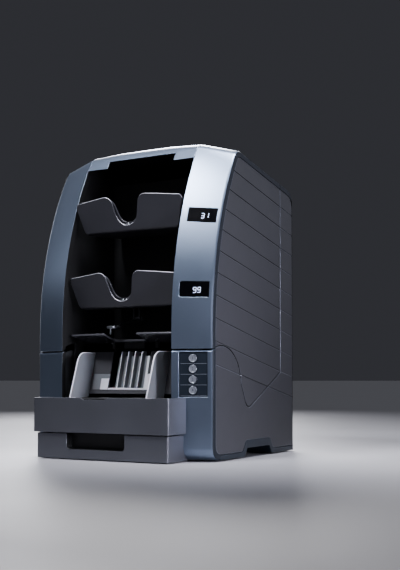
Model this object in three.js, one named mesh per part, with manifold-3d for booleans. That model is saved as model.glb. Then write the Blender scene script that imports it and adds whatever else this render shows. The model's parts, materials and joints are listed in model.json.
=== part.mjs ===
// Desktop banknote counter with one feeder, a reject pocket and two stacking pockets.
// Millimetres, +Z up, -Y is the front. The upper module swings forward about a pin near the feeder.
import * as THREE from 'three';
import { mergeVertices } from 'three/addons/utils/BufferGeometryUtils.js';
import Module from 'manifold-3d';

const wasm = await Module();
wasm.setup();

// Clearances and overruns shared by all pieces
const fitGap = 0.3;
const seamGap = 1;
const runGap = 1;
const overrun = 5;
const farAway = 900;
const weldLimit = 0.0005;

// Facets along rounded corners and round pieces
const roundSteps = 3;
const fineSteps = 5;
const slotSteps = 1;
const shaftSides = 10;
const tyreSides = 16;
const cornerReachShare = 0.49;

// Case
const caseWidth = 315;
const caseDepth = 267;
const roofCrest = 479;
const seamHeight = 160.8;
const columnWidth = 59.2;
const footHeight = 2;
const edgeLead = 17;
const faceStart = 186;
const faceRadius = 545;
const faceSteps = 9;
const crestDepth = 60;
const roofPitch = THREE.MathUtils.degToRad(10.5);
const crownDrop = 16.6;
const crownPower = 3;
const crestRadius = 18;
const rearRadius = 22;
const toeRadius = 18;
const edgeRadius = 4;
const edgeSteps = 2;
const edgeRoundShare = 0.2;
const skin = 2.6;
const returnDepth = 9;
const returnWall = 2.6;
const caseHalf = caseWidth / 2;
const openingHalf = caseHalf - columnWidth;
const storeyHeight = roofCrest - seamHeight;

// Split between the fixed body and the swinging module
const hingeY = 26.5;
const earCrest = 5.2;
const earShare = 0.3638;
const earSteps = 14;
const earEndAngle = THREE.MathUtils.degToRad(3.5);
const tongueDropShare = 0.6103;
const tongueShare = 0.4785;
const tongueRadius = 12;
const towerDepth = 48;
const sashRiseShare = 0.3675;
const sashRadius = 4;
const toeChamfer = 3.5;
const sweepGap = 8.8;
const earRadius = seamHeight * earShare;
const sweepRadius = earRadius + sweepGap;
const hingeZ = seamHeight + earCrest - earRadius;
const towerY = caseDepth - towerDepth;
const tongueY = towerY * tongueShare;
const tongueZ = hingeZ - earRadius * tongueDropShare;
const sashZ = hingeZ + earRadius * sashRiseShare;

// Side panels
const frameSide = 8;
const frameTop = 9;
const frameRear = 3.3;
const frameBottom = 7.6;
const panelRecess = 0.5;
const panelWall = 2.8;
const panelCorner = 14;
const grooveCount = 10;
const grooveDrop = 40.6;
const groovePitch = 33.1;
const grooveTilt = THREE.MathUtils.degToRad(11.23);
const grooveWidth = 1.8;
const grooveDepth = 1.1;
const grooveTop = roofCrest - grooveDrop;

// Carry-handle recess
const gripFrontShare = 0.3596;
const gripRearShare = 0.6966;
const gripSlope = 8;
const gripRise = 12.8;
const gripBorder = 11.8;
const gripFlare = 6;
const gripRadius = 5;
const gripFront = caseDepth * gripFrontShare;
const gripRear = caseDepth * gripRearShare;

// Base and inner frames
const baseFront = 20.5;
const baseWall = 3;
const frameInset = 9.7;
const frameWall = 2.5;
const frameMargin = 14;
const cheekInset = 3.7;
const cheekWall = 3;
const cheekMargin = 6;
const cheekRearGap = 7;
const armFront = 5.9;
const armRear = 17;
const armOverlap = 15;
const eyeRadius = 11;
const pinRadius = 4;
const pinHead = 7;
const pinHeadWall = 2;
const frameX = openingHalf + frameInset;
const cheekX = openingHalf + cheekInset;
const cheekRear = towerY - cheekRearGap;

// Feeder
const feederShare = 0.5597;
const feederPlate = 3;
const feederInset = 1.3;
const feederRear = 48;
const backLean = THREE.MathUtils.degToRad(15.1);
const backFootY = 9.61;
const backSeamGap = 0.8;
const backWallThickness = 2.5;
const throatHeight = 6;
const shoeInset = 3.3;
const shoeHeight = 30;
const guideInset = 29.7;
const guideWall = 2.2;
const guideNoseBottom = -37;
const guideNoseTop = -13;
const guideNoseRadius = 18;
const guideFootFront = -24;
const guideFootRear = -8;
const guideFootDrop = 9;
const guideInShare = 0.2675;
const guideTravelOut = 24;
const feederTop = seamHeight * feederShare;
const feederHalf = openingHalf - feederInset;
const backTopZ = seamHeight - backSeamGap;
const guideX = feederHalf - guideInset;
const guideTop = backTopZ - runGap;
const guideTravelIn = guideX * guideInShare;
const shoeHalf = guideX - shoeInset;

// Hopper front and drawer
const hopperInset = 21.4;
const hopperFront = -58.5;
const hopperLip = 1.1;
const hopperWall = 3;
const hopperCorner = 3;
const frontOffset = -8.5;
const lipWidth = 49;
const lipDepth = 3;
const lipSlope = 6.5;
const drawerInset = 3.5;
const drawerFront = -54.3;
const drawerBottom = 1.5;
const drawerShare = 0.2394;
const drawerSeam = 1.6;
const drawerWall = 2.8;
const drawerBoxInset = 6.3;
const drawerRearGap = 6;
const pullWidth = 103;
const pullBottom = 15.6;
const pullRadius = 5;
const pullDepth = 16;
const hopperHalf = openingHalf + hopperInset;
const hopperTop = feederTop + hopperLip;
const drawerTop = seamHeight * drawerShare;
const hopperBottom = drawerTop + drawerSeam;
const drawerHalf = hopperHalf - drawerInset;
const drawerBoxHalf = openingHalf - drawerBoxInset;
const drawerBoxRear = gripFront - drawerRearGap;

// Rollers and shafts of the feeder
const shaftRadius = 4;
const pickoffY = -2;
const pickoffTyre = 13;
const pickoffShare = 0.4458;
const tyreWidth = 14;
const tyreProudHeight = 0.8;
const feedY = 36;
const feedTyre = 15;
const retardTyre = 10;
const nipGap = 0.5;
const pickoffX = guideX * pickoffShare;
const pickoffZ = feederTop + tyreProudHeight - pickoffTyre;
const feedZ = feederTop + tyreProudHeight - feedTyre;
const retardZ = feederTop + tyreProudHeight + nipGap + retardTyre;
const retardHalf = pickoffX + tyreWidth / 2 + 2 * runGap;
const hopperTailRear = feedY + retardTyre;

// Comb of ribs in the feeder back
const combInset = 5;
const ribPitch = 12.2;
const ribWall = 1.6;
const ribDepth = 9;
const ribPlaceShares = [-1.5, -0.5, 0.5, 1.5];
const padWidth = 8.4;
const padDrop = 7;
const combSlot = 6;
const stepDrop = 7;
const stepWall = 1.2;
const combHalf = retardHalf - combInset;
const stepHalf = guideX - guideTravelIn - runGap;

// Note path
const pathWall = 2;
const pathGap = 7;
const pathInset = 2.7;
const moduleWallGap = 3.5;
const towerWallDrop = 67;
const moduleWallDrop = 61;
const lowRollerRise = 41;
const highRollerDrop = 119;
const pathTyre = 11;
const guideEntryY = 62;
const guideEntryRise = 26;
const sensorShare = 1.5;
const pathHalf = openingHalf + pathInset;
const moduleWallY = towerY - moduleWallGap;
const towerWallTop = roofCrest - towerWallDrop;
const moduleWallTop = roofCrest - moduleWallDrop;
const lowRollerZ = sashZ + lowRollerRise;
const highRollerZ = roofCrest - highRollerDrop;
const towerShaftY = moduleWallY + pathGap - tyreProudHeight + pathTyre;
const slopeAngle = Math.atan2(sashZ - tongueZ, towerY - tongueY);
const slopeGap = pathGap / 2 / Math.cos(slopeAngle);

// Pockets
const trayInset = 1.7;
const trayBow = 520;
const trayWall = 3.2;
const trayLean = THREE.MathUtils.degToRad(16);
const trayTopShares = [0.7376, 0.3715];
const trayTopY = [2.5, -12];
const trayHeightShare = 0.1697;
const trayShoulder = 6;
const trayTaper = 10;
const trayFoot = 5;
const trayBend = 5;
const trayFloorRise = THREE.MathUtils.degToRad(4);
const trayStationShare = 0.5;
const notchHalf = 26;
const notchCorner = 13;
const notchDepthShare = 0.8148;
const notchFoot = 15.4;
const notchRadius = 19;
const linerGap = 7;
const linerDrop = 3;
const linerLip = 5;
const linerFoot = 13.5;
const linerRadius = 16.5;
const linerReach = 42;
const pocketWallY = 124;
const pocketWallThickness = 2.5;
const pocketWallDrop = 41;
const pocketFootDrop = 22;
const wheelY = 138;
const wheelRiseShare = 0.6481;
const wheelX = 48;
const wheelRadiusShare = 0.5;
const wheelHub = 9;
const wheelWall = 5;
const wheelFingers = 6;
const wheelSweep = THREE.MathUtils.degToRad(62);
const fingerWidthShare = 0.5;
const fingerTaperShare = 0.55;
const trayHalf = openingHalf - trayInset;
const trayTopZ = trayTopShares.map((share) => seamHeight + storeyHeight * share);
const trayHeight = storeyHeight * trayHeightShare;
const wheelRadius = trayHeight * wheelRadiusShare;
const trayFloorRear = pocketWallY - fitGap;
const notchDepth = trayHeight * notchDepthShare;
const linerLift = trayWall + runGap;
const pocketWallTop = roofCrest - pocketWallDrop;

// Reject pocket and its hold-down arm
const rejectShare = 0.0729;
const rejectTopY = -6;
const rejectRun = 36;
const rejectDrop = 10.5;
const rejectFall = 4;
const rejectNotchHalf = 29;
const rejectNotchEnd = 5;
const stemRadius = 1.1;
const stemOffset = 3;
const padReach = 3;
const padCorner = 3;
const armX = -22;
const armWidth = 14;
const armEyeShare = 1 / 4;
const armPivotY = 78;
const armPivotDrop = 11;
const armRod = 2.2;
const armElbowY = 20;
const armElbowDrop = 15;
const armTipY = 4;
const armTipDrop = 11;
const lugWall = 2.5;
const lugHalf = 7;
const bladeShare = 0.7;
const rejectTopZ = seamHeight + storeyHeight * rejectShare;
const pocketWallFoot = rejectTopZ - pocketFootDrop;
const armPivotZ = trayTopZ[1] - trayHeight - armPivotDrop;
const armElbowZ = armPivotZ - armElbowDrop;

// Visor
const visorDrop = 30;
const visorStep = 12;
const visorStepInset = 37.3;
const visorReach = 90;
const flangeDepth = 12;
const visorEdge = roofCrest - visorDrop;
const visorStepHalf = openingHalf - visorStepInset;

// Displays
const displayInset = 28.2;
const displayShares = [0.6135, 0.2693];
const displayWidth = 43.6;
const displayHeight = 22.4;
const displayRecess = 0.4;
const displayRim = 2;
const displayX = caseHalf - displayInset;
const displayZ = displayShares.map((share) => seamHeight + storeyHeight * share);

// Keypad
const keypadInset = 28.2;
const keypadWidth = 41.5;
const keypadSeamGap = 4.4;
const keypadFootGap = 1.7;
const keypadRecess = 0.8;
const keypadWall = 1.6;
const buttonCount = 4;
const buttonTopMargin = 8.6;
const buttonFootMargin = 9.4;
const buttonShare = 0.375;
const buttonProud = 1.6;
const buttonDish = 0.5;
const buttonRim = 1.2;
const buttonRimWall = 1;
const keypadX = caseHalf - keypadInset;
const keypadTop = seamHeight - keypadSeamGap;
const keypadHeight = keypadTop - hopperTop - keypadFootGap;
const keypadZ = keypadTop - keypadHeight / 2;
const buttonTopZ = keypadTop - buttonTopMargin;
const buttonPitch = (keypadHeight - buttonTopMargin - buttonFootMargin) / (buttonCount - 1);
const buttonRadius = buttonPitch * buttonShare;

// Rear fittings
const inletInset = 12.3;
const inletZ = 62;
const inletWidth = 30;
const inletHeight = 24;
const inletDepth = 24;
const bladePitch = 6;
const switchWidth = 22;
const rockerWell = 9;
const rockerThrow = 3;
const rockerTilt = THREE.MathUtils.degToRad(6);
const rockerFootShare = 0.5;
const portsGap = 13;
const portsWidth = 56;
const portsHeight = 20;
const portsDepth = 18;
const portShares = [[0.7, 0.62], [0.62, 0.4], [0.8, 0.5]];
const ventCount = 9;
const ventPitch = 9;
const ventHeight = 3.6;
const ventWidth = 116;
const ventDrop = 129;
const inletX = -openingHalf + inletInset;
const portsX = inletX + inletWidth / 2 + switchWidth + portsGap + portsWidth / 2;
const ventTop = roofCrest - ventDrop;

// Drive
const motorShare = 0.5184;
const motorRadiusShare = 0.1493;
const motorFloorGap = 6.2;
const motorLength = 52;
const motorBoreShare = 1 / 3;
const motorShaftShare = 1 / 4;
const pulleyRadius = 9;
const pulleyLip = 2;
const beltWidth = 8;
const beltWall = 1.6;
const bigPulleyRadius = 16;
const motorRadius = seamHeight * motorRadiusShare;
const motorY = tongueY + (towerY - tongueY) * motorShare;
const motorZ = footHeight + baseWall + gripRise + motorFloorGap + motorRadius + pulleyLip;
const pulleyNear = frameX + frameWall + runGap;
const pulleyFar = pulleyNear + beltWidth + 2 * pulleyLip;

// Electronics
const supplyShare = 0.7778;
const supplyHeight = 40;
const supplySlotShare = 1 / 3;
const supplySideGap = 18;
const deckCentreShare = 0.839;
const deckDepthShare = 0.2247;
const boardShare = 0.8333;
const boardWall = 1.6;
const boardSideGap = 11;
const postRadius = 3.5;
const postInset = 5.2;
const postHeight = 12;
const chipShares = [[0.1, 0.15, 0.25, 0.6], [0.5, 0.2, 0.3, 0.3], [0.35, 0.65, 0.2, 0.9]];
const supplyWidth = frameX * supplyShare;
const supplyX = supplySideGap + supplyWidth / 2 - frameX;
const boardWidth = frameX * boardShare;
const boardX = frameX - boardSideGap - boardWidth / 2;
const deckY = caseDepth * deckCentreShare;
const deckDepth = caseDepth * deckDepthShare;

// Feet
const footRadius = 9;
const footInset = 25.5;
const footFrontShare = 0.1948;
const footRearGap = 35;
const footX = caseHalf - footInset;
const footFrontY = caseDepth * footFrontShare;
const footRearY = caseDepth - footRearGap;

const axisX = new THREE.Vector3(1, 0, 0);
const axisY = new THREE.Vector3(0, 1, 0);
const axisZ = new THREE.Vector3(0, 0, 1);

// Solid helpers
function toSolid(geometry) {
  const bare = new THREE.BufferGeometry();
  bare.setAttribute('position', geometry.getAttribute('position').clone());
  if (geometry.index) bare.setIndex(geometry.index.clone());
  const merged = mergeVertices(bare, weldLimit);
  const points = merged.getAttribute('position').array;
  const index = merged.index.array;
  const triangles = [];
  let volume = 0;
  const corner = [new THREE.Vector3(), new THREE.Vector3(), new THREE.Vector3()];
  for (let i = 0; i < index.length; i += 3) {
    const [a, b, c] = [index[i], index[i + 1], index[i + 2]];
    if (a === b || b === c || c === a) continue;
    triangles.push(a, b, c);
    [a, b, c].forEach((vertex, k) => corner[k].fromArray(points, vertex * 3));
    volume += corner[0].dot(corner[1].clone().cross(corner[2]));
  }
  if (volume < 0) triangles.reverse();
  return new wasm.Manifold(new wasm.Mesh({
    numProp: 3,
    vertProperties: Float32Array.from(points),
    triVerts: Uint32Array.from(triangles),
  }));
}

function toGeometry(solid) {
  const mesh = solid.getMesh();
  const geometry = new THREE.BufferGeometry();
  const points = [];
  for (let i = 0; i < mesh.vertProperties.length; i += mesh.numProp) {
    points.push(mesh.vertProperties[i], mesh.vertProperties[i + 1], mesh.vertProperties[i + 2]);
  }
  geometry.setAttribute('position', new THREE.Float32BufferAttribute(points, 3));
  geometry.setIndex(Array.from(mesh.triVerts));
  geometry.computeVertexNormals();
  return geometry;
}

// The left-hand copy of a right-hand piece
function mirrored(solid) {
  const geometry = toGeometry(solid).applyMatrix4(new THREE.Matrix4().makeScale(-1, 1, 1));
  geometry.deleteAttribute('normal');
  return toSolid(geometry);
}

function cut(solid, ...tools) {
  return tools.reduce((rest, tool) => rest.subtract(tool), solid);
}

function join(solid, ...others) {
  return others.reduce((sum, other) => sum.add(other), solid);
}

function moved(geometry, x, y, z) {
  return geometry.translate(x, y, z);
}

// Outlines are lists of [u, v, radius], anticlockwise, with the radius left out on sharp corners
function rounded(corners, steps = roundSteps) {
  const outline = [];
  corners.forEach(([u, v, radius], i) => {
    const point = new THREE.Vector2(u, v);
    if (!radius || radius <= 0) {
      outline.push(point);
      return;
    }
    const before = corners[(i + corners.length - 1) % corners.length];
    const after = corners[(i + 1) % corners.length];
    const back = new THREE.Vector2(before[0], before[1]).sub(point);
    const ahead = new THREE.Vector2(after[0], after[1]).sub(point);
    const shortest = Math.min(back.length(), ahead.length());
    back.normalize();
    ahead.normalize();
    const half = Math.acos(THREE.MathUtils.clamp(back.dot(ahead), -1, 1)) / 2;
    const reach = Math.min(radius / Math.tan(half), shortest * cornerReachShare);
    const arm = reach / Math.cos(half);
    const centre = back.clone().add(ahead).setLength(arm).add(point);
    const bend = reach * Math.tan(half);
    const start = back.clone().multiplyScalar(reach).add(point).sub(centre);
    const end = ahead.clone().multiplyScalar(reach).add(point).sub(centre);
    let turn = end.angle() - start.angle();
    if (turn > Math.PI) turn -= 2 * Math.PI;
    if (turn < -Math.PI) turn += 2 * Math.PI;
    for (let k = 0; k <= steps; k += 1) {
      const angle = start.angle() + turn * k / steps;
      outline.push(new THREE.Vector2(Math.cos(angle), Math.sin(angle)).multiplyScalar(bend).add(centre));
    }
  });
  return outline;
}

// Grows an anticlockwise outline by the distance, or shrinks it where the distance is negative
function offsetOutline(outline, distance) {
  const normals = outline.map((point, i) => {
    const edge = outline[(i + 1) % outline.length].clone().sub(point).normalize();
    return new THREE.Vector2(edge.y, -edge.x);
  });
  return outline.map((point, i) => {
    const before = normals[(i + outline.length - 1) % outline.length];
    const after = normals[i];
    const mitre = before.clone().add(after).multiplyScalar(distance / (1 + before.dot(after)));
    return point.clone().add(mitre);
  });
}

function outlineShape(outline, holes = []) {
  const shape = new THREE.Shape(outline);
  holes.forEach((hole) => shape.holes.push(new THREE.Path(hole)));
  return shape;
}

function circleOutline(u, v, radius, sides = shaftSides) {
  return Array.from({ length: sides }, (unused, i) => {
    const angle = 2 * Math.PI * i / sides;
    return new THREE.Vector2(u + radius * Math.cos(angle), v + radius * Math.sin(angle));
  });
}

function boxCorners(u0, u1, v0, v1, radius = 0) {
  return [[u0, v0, radius], [u1, v0, radius], [u1, v1, radius], [u0, v1, radius]];
}

// Slabs: an outline in the plane square to the axis, extruded between two places on that axis
function extruded(outline, depth, holes) {
  return new THREE.ExtrudeGeometry(outlineShape(outline, holes), { depth, bevelEnabled: false });
}

function slabX(outline, x0, x1, holes) {
  const axes = new THREE.Matrix4().makeBasis(axisY, axisZ, axisX);
  return toSolid(moved(extruded(outline, x1 - x0, holes).applyMatrix4(axes), x0, 0, 0));
}

function slabY(outline, y0, y1, holes) {
  const axes = new THREE.Matrix4().makeBasis(axisX, axisZ, axisY.clone().negate());
  return toSolid(moved(extruded(outline, y1 - y0, holes).applyMatrix4(axes), 0, y1, 0));
}

function slabZ(outline, z0, z1, holes) {
  return toSolid(moved(extruded(outline, z1 - z0, holes), 0, 0, z0));
}

function block(x0, x1, y0, y1, z0, z1) {
  const box = new THREE.BoxGeometry(x1 - x0, y1 - y0, z1 - z0);
  return toSolid(moved(box, (x0 + x1) / 2, (y0 + y1) / 2, (z0 + z1) / 2));
}

// A turned piece about the X axis at y, z: the profile is a list of [x, radius]
function turnedX(profile, y, z, sides = shaftSides) {
  const points = profile.map(([x, radius]) => new THREE.Vector2(radius, x));
  const lathe = new THREE.LatheGeometry(points, sides);
  const axes = new THREE.Matrix4().makeBasis(axisY, axisX, axisZ.clone().negate());
  return toSolid(moved(lathe.applyMatrix4(axes), 0, y, z));
}

function rod(x0, x1, radius, y, z, sides) {
  return turnedX([[x0, 0], [x0, radius], [x1, radius], [x1, 0]], y, z, sides);
}

// A closed body through rings of the same number of points, placed at rising x
function loft(rings) {
  const count = rings[0].outline.length;
  const points = rings.flatMap((ring) => ring.outline.flatMap((point) => [ring.x, point.x, point.y]));
  const index = [];
  for (let r = 0; r + 1 < rings.length; r += 1) {
    for (let i = 0; i < count; i += 1) {
      const a = r * count + i;
      const b = r * count + (i + 1) % count;
      index.push(a, b, b + count, a, b + count, a + count);
    }
  }
  const last = (rings.length - 1) * count;
  THREE.ShapeUtils.triangulateShape(rings[0].outline, []).forEach(([a, b, c]) => index.push(a, c, b));
  THREE.ShapeUtils.triangulateShape(rings.at(-1).outline, [])
    .forEach(([a, b, c]) => index.push(last + a, last + b, last + c));
  const geometry = new THREE.BufferGeometry();
  geometry.setAttribute('position', new THREE.Float32BufferAttribute(points, 3));
  geometry.setIndex(index);
  return toSolid(geometry);
}

// Case surface
function leadAt(x) {
  return edgeLead * THREE.MathUtils.clamp((caseHalf - Math.abs(x)) / (caseHalf - openingHalf), 0, 1);
}

function dropAt(x) {
  return crownDrop * (Math.abs(x) / caseHalf) ** crownPower;
}

function faceY(x, z) {
  const rise = Math.max(z - faceStart, 0);
  return faceRadius - Math.sqrt((faceRadius + leadAt(x)) ** 2 - rise ** 2);
}

// Side view of the case at one place across it, moved in by a margin on each edge
function sideCorners(x, margin, bottomCorners = []) {
  const level = roofCrest - dropAt(x);
  const radius = faceRadius + leadAt(x) - margin.front;
  const height = (level - faceStart) * Math.cos(roofPitch);
  const reach = height + (crestDepth - faceRadius) * Math.sin(roofPitch) - margin.top;
  const topAngle = roofPitch + Math.asin(reach / radius);
  const rear = caseDepth - margin.rear;
  const roofRear = level - margin.top / Math.cos(roofPitch) - Math.tan(roofPitch) * (rear - crestDepth);
  const bottom = footHeight + margin.bottom;
  const front = faceRadius - radius;
  const face = [];
  for (let i = faceSteps; i >= 0; i -= 1) {
    const angle = topAngle * i / faceSteps;
    const y = faceRadius - radius * Math.cos(angle);
    face.push([y, faceStart + radius * Math.sin(angle), i === faceSteps ? crestRadius - margin.top : 0]);
  }
  return [
    [front, bottom, margin.toe ?? toeRadius - margin.front],
    ...bottomCorners,
    [rear, bottom],
    [rear, roofRear, rearRadius - margin.rear],
    ...face,
  ];
}

function evenMargin(inset) {
  return { front: inset, top: inset, rear: inset, bottom: inset };
}

function sideOutline(x, margin, bottomCorners) {
  return rounded(sideCorners(x, margin, bottomCorners));
}

// The whole case as one body, smaller by the inset on every side, with its long edges rounded
function caseBody(inset) {
  const half = caseHalf - Math.max(inset, 0);
  const round = Math.max(edgeRadius - inset, edgeRadius * edgeRoundShare);
  const stations = [];
  for (let i = 0; i <= edgeSteps; i += 1) {
    const angle = Math.PI / 2 * i / edgeSteps;
    const x = half - round + round * Math.sin(angle);
    stations.push({ x, inset: inset + round * (1 - Math.cos(angle)) });
  }
  const inner = [0, openingHalf / 2, openingHalf].map((x) => ({ x, inset }));
  const right = [...inner, ...stations];
  const all = [...right.slice(1).reverse().map((s) => ({ x: -s.x, inset: s.inset })), ...right];
  return loft(all.map((s) => ({ x: s.x, outline: sideOutline(s.x, evenMargin(s.inset)) })));
}

// Side view of the fixed part of the machine, which the swinging module parts from
function fixedRegion(clearance) {
  const seamRise = seamHeight - hingeZ;
  const startAngle = Math.PI - Math.asin(seamRise / earRadius);
  const ear = [];
  for (let i = 0; i <= earSteps; i += 1) {
    const angle = earEndAngle + (startAngle - earEndAngle) * i / earSteps;
    ear.push([hingeY + earRadius * Math.cos(angle), hingeZ + earRadius * Math.sin(angle)]);
  }
  const corners = [
    [-farAway, -farAway],
    [farAway, -farAway],
    [farAway, farAway],
    [towerY, farAway],
    [towerY, sashZ, sashRadius],
    [tongueY, tongueZ, tongueRadius],
    ...ear,
    [-farAway, seamHeight],
  ];
  return offsetOutline(rounded(corners), clearance);
}

// The side panel's lower edge over the carry-handle recess
function gripPanelLine(bottom) {
  return [
    [gripFront - gripFlare, bottom, gripRadius],
    [gripFront + gripSlope - gripFlare / 2, footHeight + gripRise + gripBorder, gripRadius],
    [gripRear - gripSlope + gripFlare / 2, footHeight + gripRise + gripBorder, gripRadius],
    [gripRear + gripFlare, bottom, gripRadius],
  ];
}

// Side view of the field that the side panels fill inside their frame
function panelOutline(clearance) {
  const margin = {
    front: frameSide + clearance,
    top: frameTop + clearance,
    rear: frameRear + clearance,
    bottom: frameBottom + clearance,
    toe: panelCorner,
  };
  return sideOutline(caseHalf, margin, gripPanelLine(footHeight + frameBottom + clearance));
}

// A frame on the front face of the right column: across, up and outward
function faceMatrix(x, z) {
  const step = skin;
  const up = new THREE.Vector3(0, faceY(x, z + step) - faceY(x, z - step), 2 * step).normalize();
  const out = new THREE.Vector3(2 * step, faceY(x + step, z) - faceY(x - step, z), 0).normalize();
  const normal = out.clone().cross(up).normalize();
  const across = up.clone().cross(normal).normalize();
  return new THREE.Matrix4().makeBasis(across, up, normal).setPosition(x, faceY(x, z), z);
}

// A rectangular block let into the column face, from one depth below the surface to another
function faceBlock(x, z, width, height, near, far, margin = 0) {
  const halfWidth = width / 2 + margin;
  const halfHeight = height / 2 + margin;
  const corners = boxCorners(-halfWidth, halfWidth, -halfHeight, halfHeight);
  const geometry = moved(extruded(rounded(corners), far - near), 0, 0, -far);
  return toSolid(geometry.applyMatrix4(faceMatrix(x, z)));
}

// Front frame
function rightHalf(solid, near = openingHalf) {
  return solid.intersect(block(near, caseHalf + overrun, -farAway, farAway, -farAway, farAway));
}

function columnShell() {
  const shell = rightHalf(cut(caseBody(0), caseBody(skin)));
  const flange = rightHalf(cut(caseBody(skin / 2), caseBody(returnDepth)))
    .intersect(block(openingHalf, openingHalf + returnWall, -farAway, farAway, -farAway, farAway));
  return { shell, flange };
}

function panelHole() {
  return slabX(panelOutline(0), caseHalf - 2 * edgeRadius, caseHalf + overrun);
}

function sweepDisc(x0, x1) {
  return rod(x0, x1, sweepRadius, hingeY, hingeZ, tyreSides * 2);
}

function upperColumn(withWindows) {
  const x0 = openingHalf - overrun;
  const x1 = caseHalf + overrun;
  const { shell, flange } = columnShell();
  const clearFlange = cut(flange, sweepDisc(x0, openingHalf + returnWall + overrun));
  const column = cut(join(shell, clearFlange), slabX(fixedRegion(seamGap / 2), x0, x1), panelHole());
  if (!withWindows) return column;
  return cut(column, ...displayZ.map((z) => (
    faceBlock(displayX, z, displayWidth, displayHeight, -overrun, 2 * overrun, fitGap))));
}

// The bevel on the lower column's top edge lets the module swing past it
function seamBevel() {
  const top = seamHeight - seamGap / 2;
  const rings = [openingHalf - overrun, openingHalf, caseHalf, caseHalf + overrun].map((x) => {
    const face = -leadAt(Math.max(x, openingHalf));
    const points = [
      [face - toeChamfer, top - 2 * toeChamfer],
      [face + toeChamfer, top],
      [face + toeChamfer, top + overrun],
      [face - toeChamfer, top + overrun],
    ];
    return { x, outline: points.map(([y, z]) => new THREE.Vector2(y, z)) };
  });
  return loft(rings);
}

function lowerColumn(withKeypad) {
  const x0 = openingHalf - overrun;
  const x1 = caseHalf + overrun;
  const { shell, flange } = columnShell();
  const front = block(x0, x1, -farAway, baseFront - fitGap, -farAway, farAway);
  const body = join(shell, flange).intersect(slabX(fixedRegion(-seamGap / 2), x0, x1)).intersect(front);
  const column = cut(body, panelHole(), seamBevel());
  if (!withKeypad) return column;
  return cut(column, faceBlock(keypadX, keypadZ, keypadWidth, keypadHeight, -overrun, 2 * overrun, fitGap));
}

function roofCover() {
  const half = openingHalf - fitGap;
  const shell = cut(caseBody(0), caseBody(skin))
    .intersect(block(-half, half, -farAway, farAway, -farAway, farAway));
  const ribs = cut(caseBody(skin / 2), caseBody(flangeDepth)).intersect(join(
    block(-half, -half + skin, -farAway, farAway, -farAway, farAway),
    block(half - skin, half, -farAway, farAway, -farAway, farAway),
  ));
  const step = visorStepHalf;
  const opening = rounded([
    [-caseHalf, -farAway],
    [caseHalf, -farAway],
    [caseHalf, visorEdge],
    [step, visorEdge],
    [step, visorEdge + visorStep],
    [-step, visorEdge + visorStep],
    [-step, visorEdge],
    [-caseHalf, visorEdge],
  ]);
  return cut(join(shell, ribs), slabY(opening, -farAway, visorReach),
    slabX(fixedRegion(seamGap / 2), -caseHalf, caseHalf));
}

// Side panels with their slanted grooves
function grooves() {
  const cutters = [];
  const outer = caseHalf - panelRecess;
  for (let i = 0; i < grooveCount; i += 1) {
    const points = [
      [outer + overrun, -grooveWidth],
      [outer + overrun, grooveWidth],
      [outer, grooveWidth / 2],
      [outer - grooveDepth, 0],
      [outer, -grooveWidth / 2],
    ];
    const outline = points.map(([x, z]) => new THREE.Vector2(x, z));
    const length = caseDepth + 2 * overrun;
    const bar = moved(extruded(outline, length), 0, 0, -length + overrun);
    const axes = new THREE.Matrix4().makeBasis(axisX, axisZ, axisY.clone().negate());
    bar.applyMatrix4(axes).applyMatrix4(new THREE.Matrix4().makeRotationX(-grooveTilt));
    cutters.push(toSolid(moved(bar, 0, 0, grooveTop - groovePitch * i)));
  }
  return cutters;
}

function panelPlate() {
  const outer = caseHalf - panelRecess;
  return slabX(panelOutline(fitGap), outer - panelWall, outer);
}

function upperPanel() {
  return cut(panelPlate(), slabX(fixedRegion(seamGap / 2), 0, caseWidth), ...grooves());
}

function lowerPanel() {
  return cut(panelPlate().intersect(slabX(fixedRegion(-seamGap / 2), 0, caseWidth)), ...grooves());
}

// Base, side frames and hinge
function gripLine(lift) {
  return [
    [gripFront, footHeight + lift, gripRadius],
    [gripFront + gripSlope, footHeight + gripRise + lift, gripRadius],
    [gripRear - gripSlope, footHeight + gripRise + lift, gripRadius],
    [gripRear, footHeight + lift, gripRadius],
  ];
}

function baseChassis() {
  const rear = caseDepth - skin - fitGap;
  const top = footHeight + frameBottom - fitGap;
  const upper = [...gripPanelLine(top)].reverse();
  const solid = slabX(rounded([
    [baseFront, footHeight],
    ...gripLine(0),
    [rear, footHeight],
    [rear, top],
    ...upper,
    [baseFront, top],
  ]), -caseHalf, caseHalf);
  const inner = slabX(rounded([
    [baseFront - overrun, footHeight + baseWall],
    ...gripLine(baseWall),
    [rear + overrun, footHeight + baseWall],
    [rear + overrun, farAway],
    [baseFront - overrun, farAway],
  ]), -caseHalf + baseWall, caseHalf - baseWall);
  return cut(solid, inner, ...vents(-footX / 2), ...vents(footX / 2));
}

// Cooling slots in the base under the power supply
function vents(x) {
  return [-1, 0, 1].map((place) => {
    const y = footRearY + place * ventPitch;
    const half = ventPitch * 2;
    const slot = rounded(boxCorners(x - half, x + half, y, y + ventHeight, ventHeight / 2), slotSteps);
    return slabZ(slot, -overrun, baseWall + 2 * overrun);
  });
}

function chassisFloor(clearance) {
  const far = farAway;
  return rounded([
    [-far, -far],
    [far, -far],
    [far, footHeight + baseWall + clearance],
    ...gripLine(baseWall + clearance).reverse(),
    [-far, footHeight + baseWall + clearance],
  ]);
}

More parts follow.
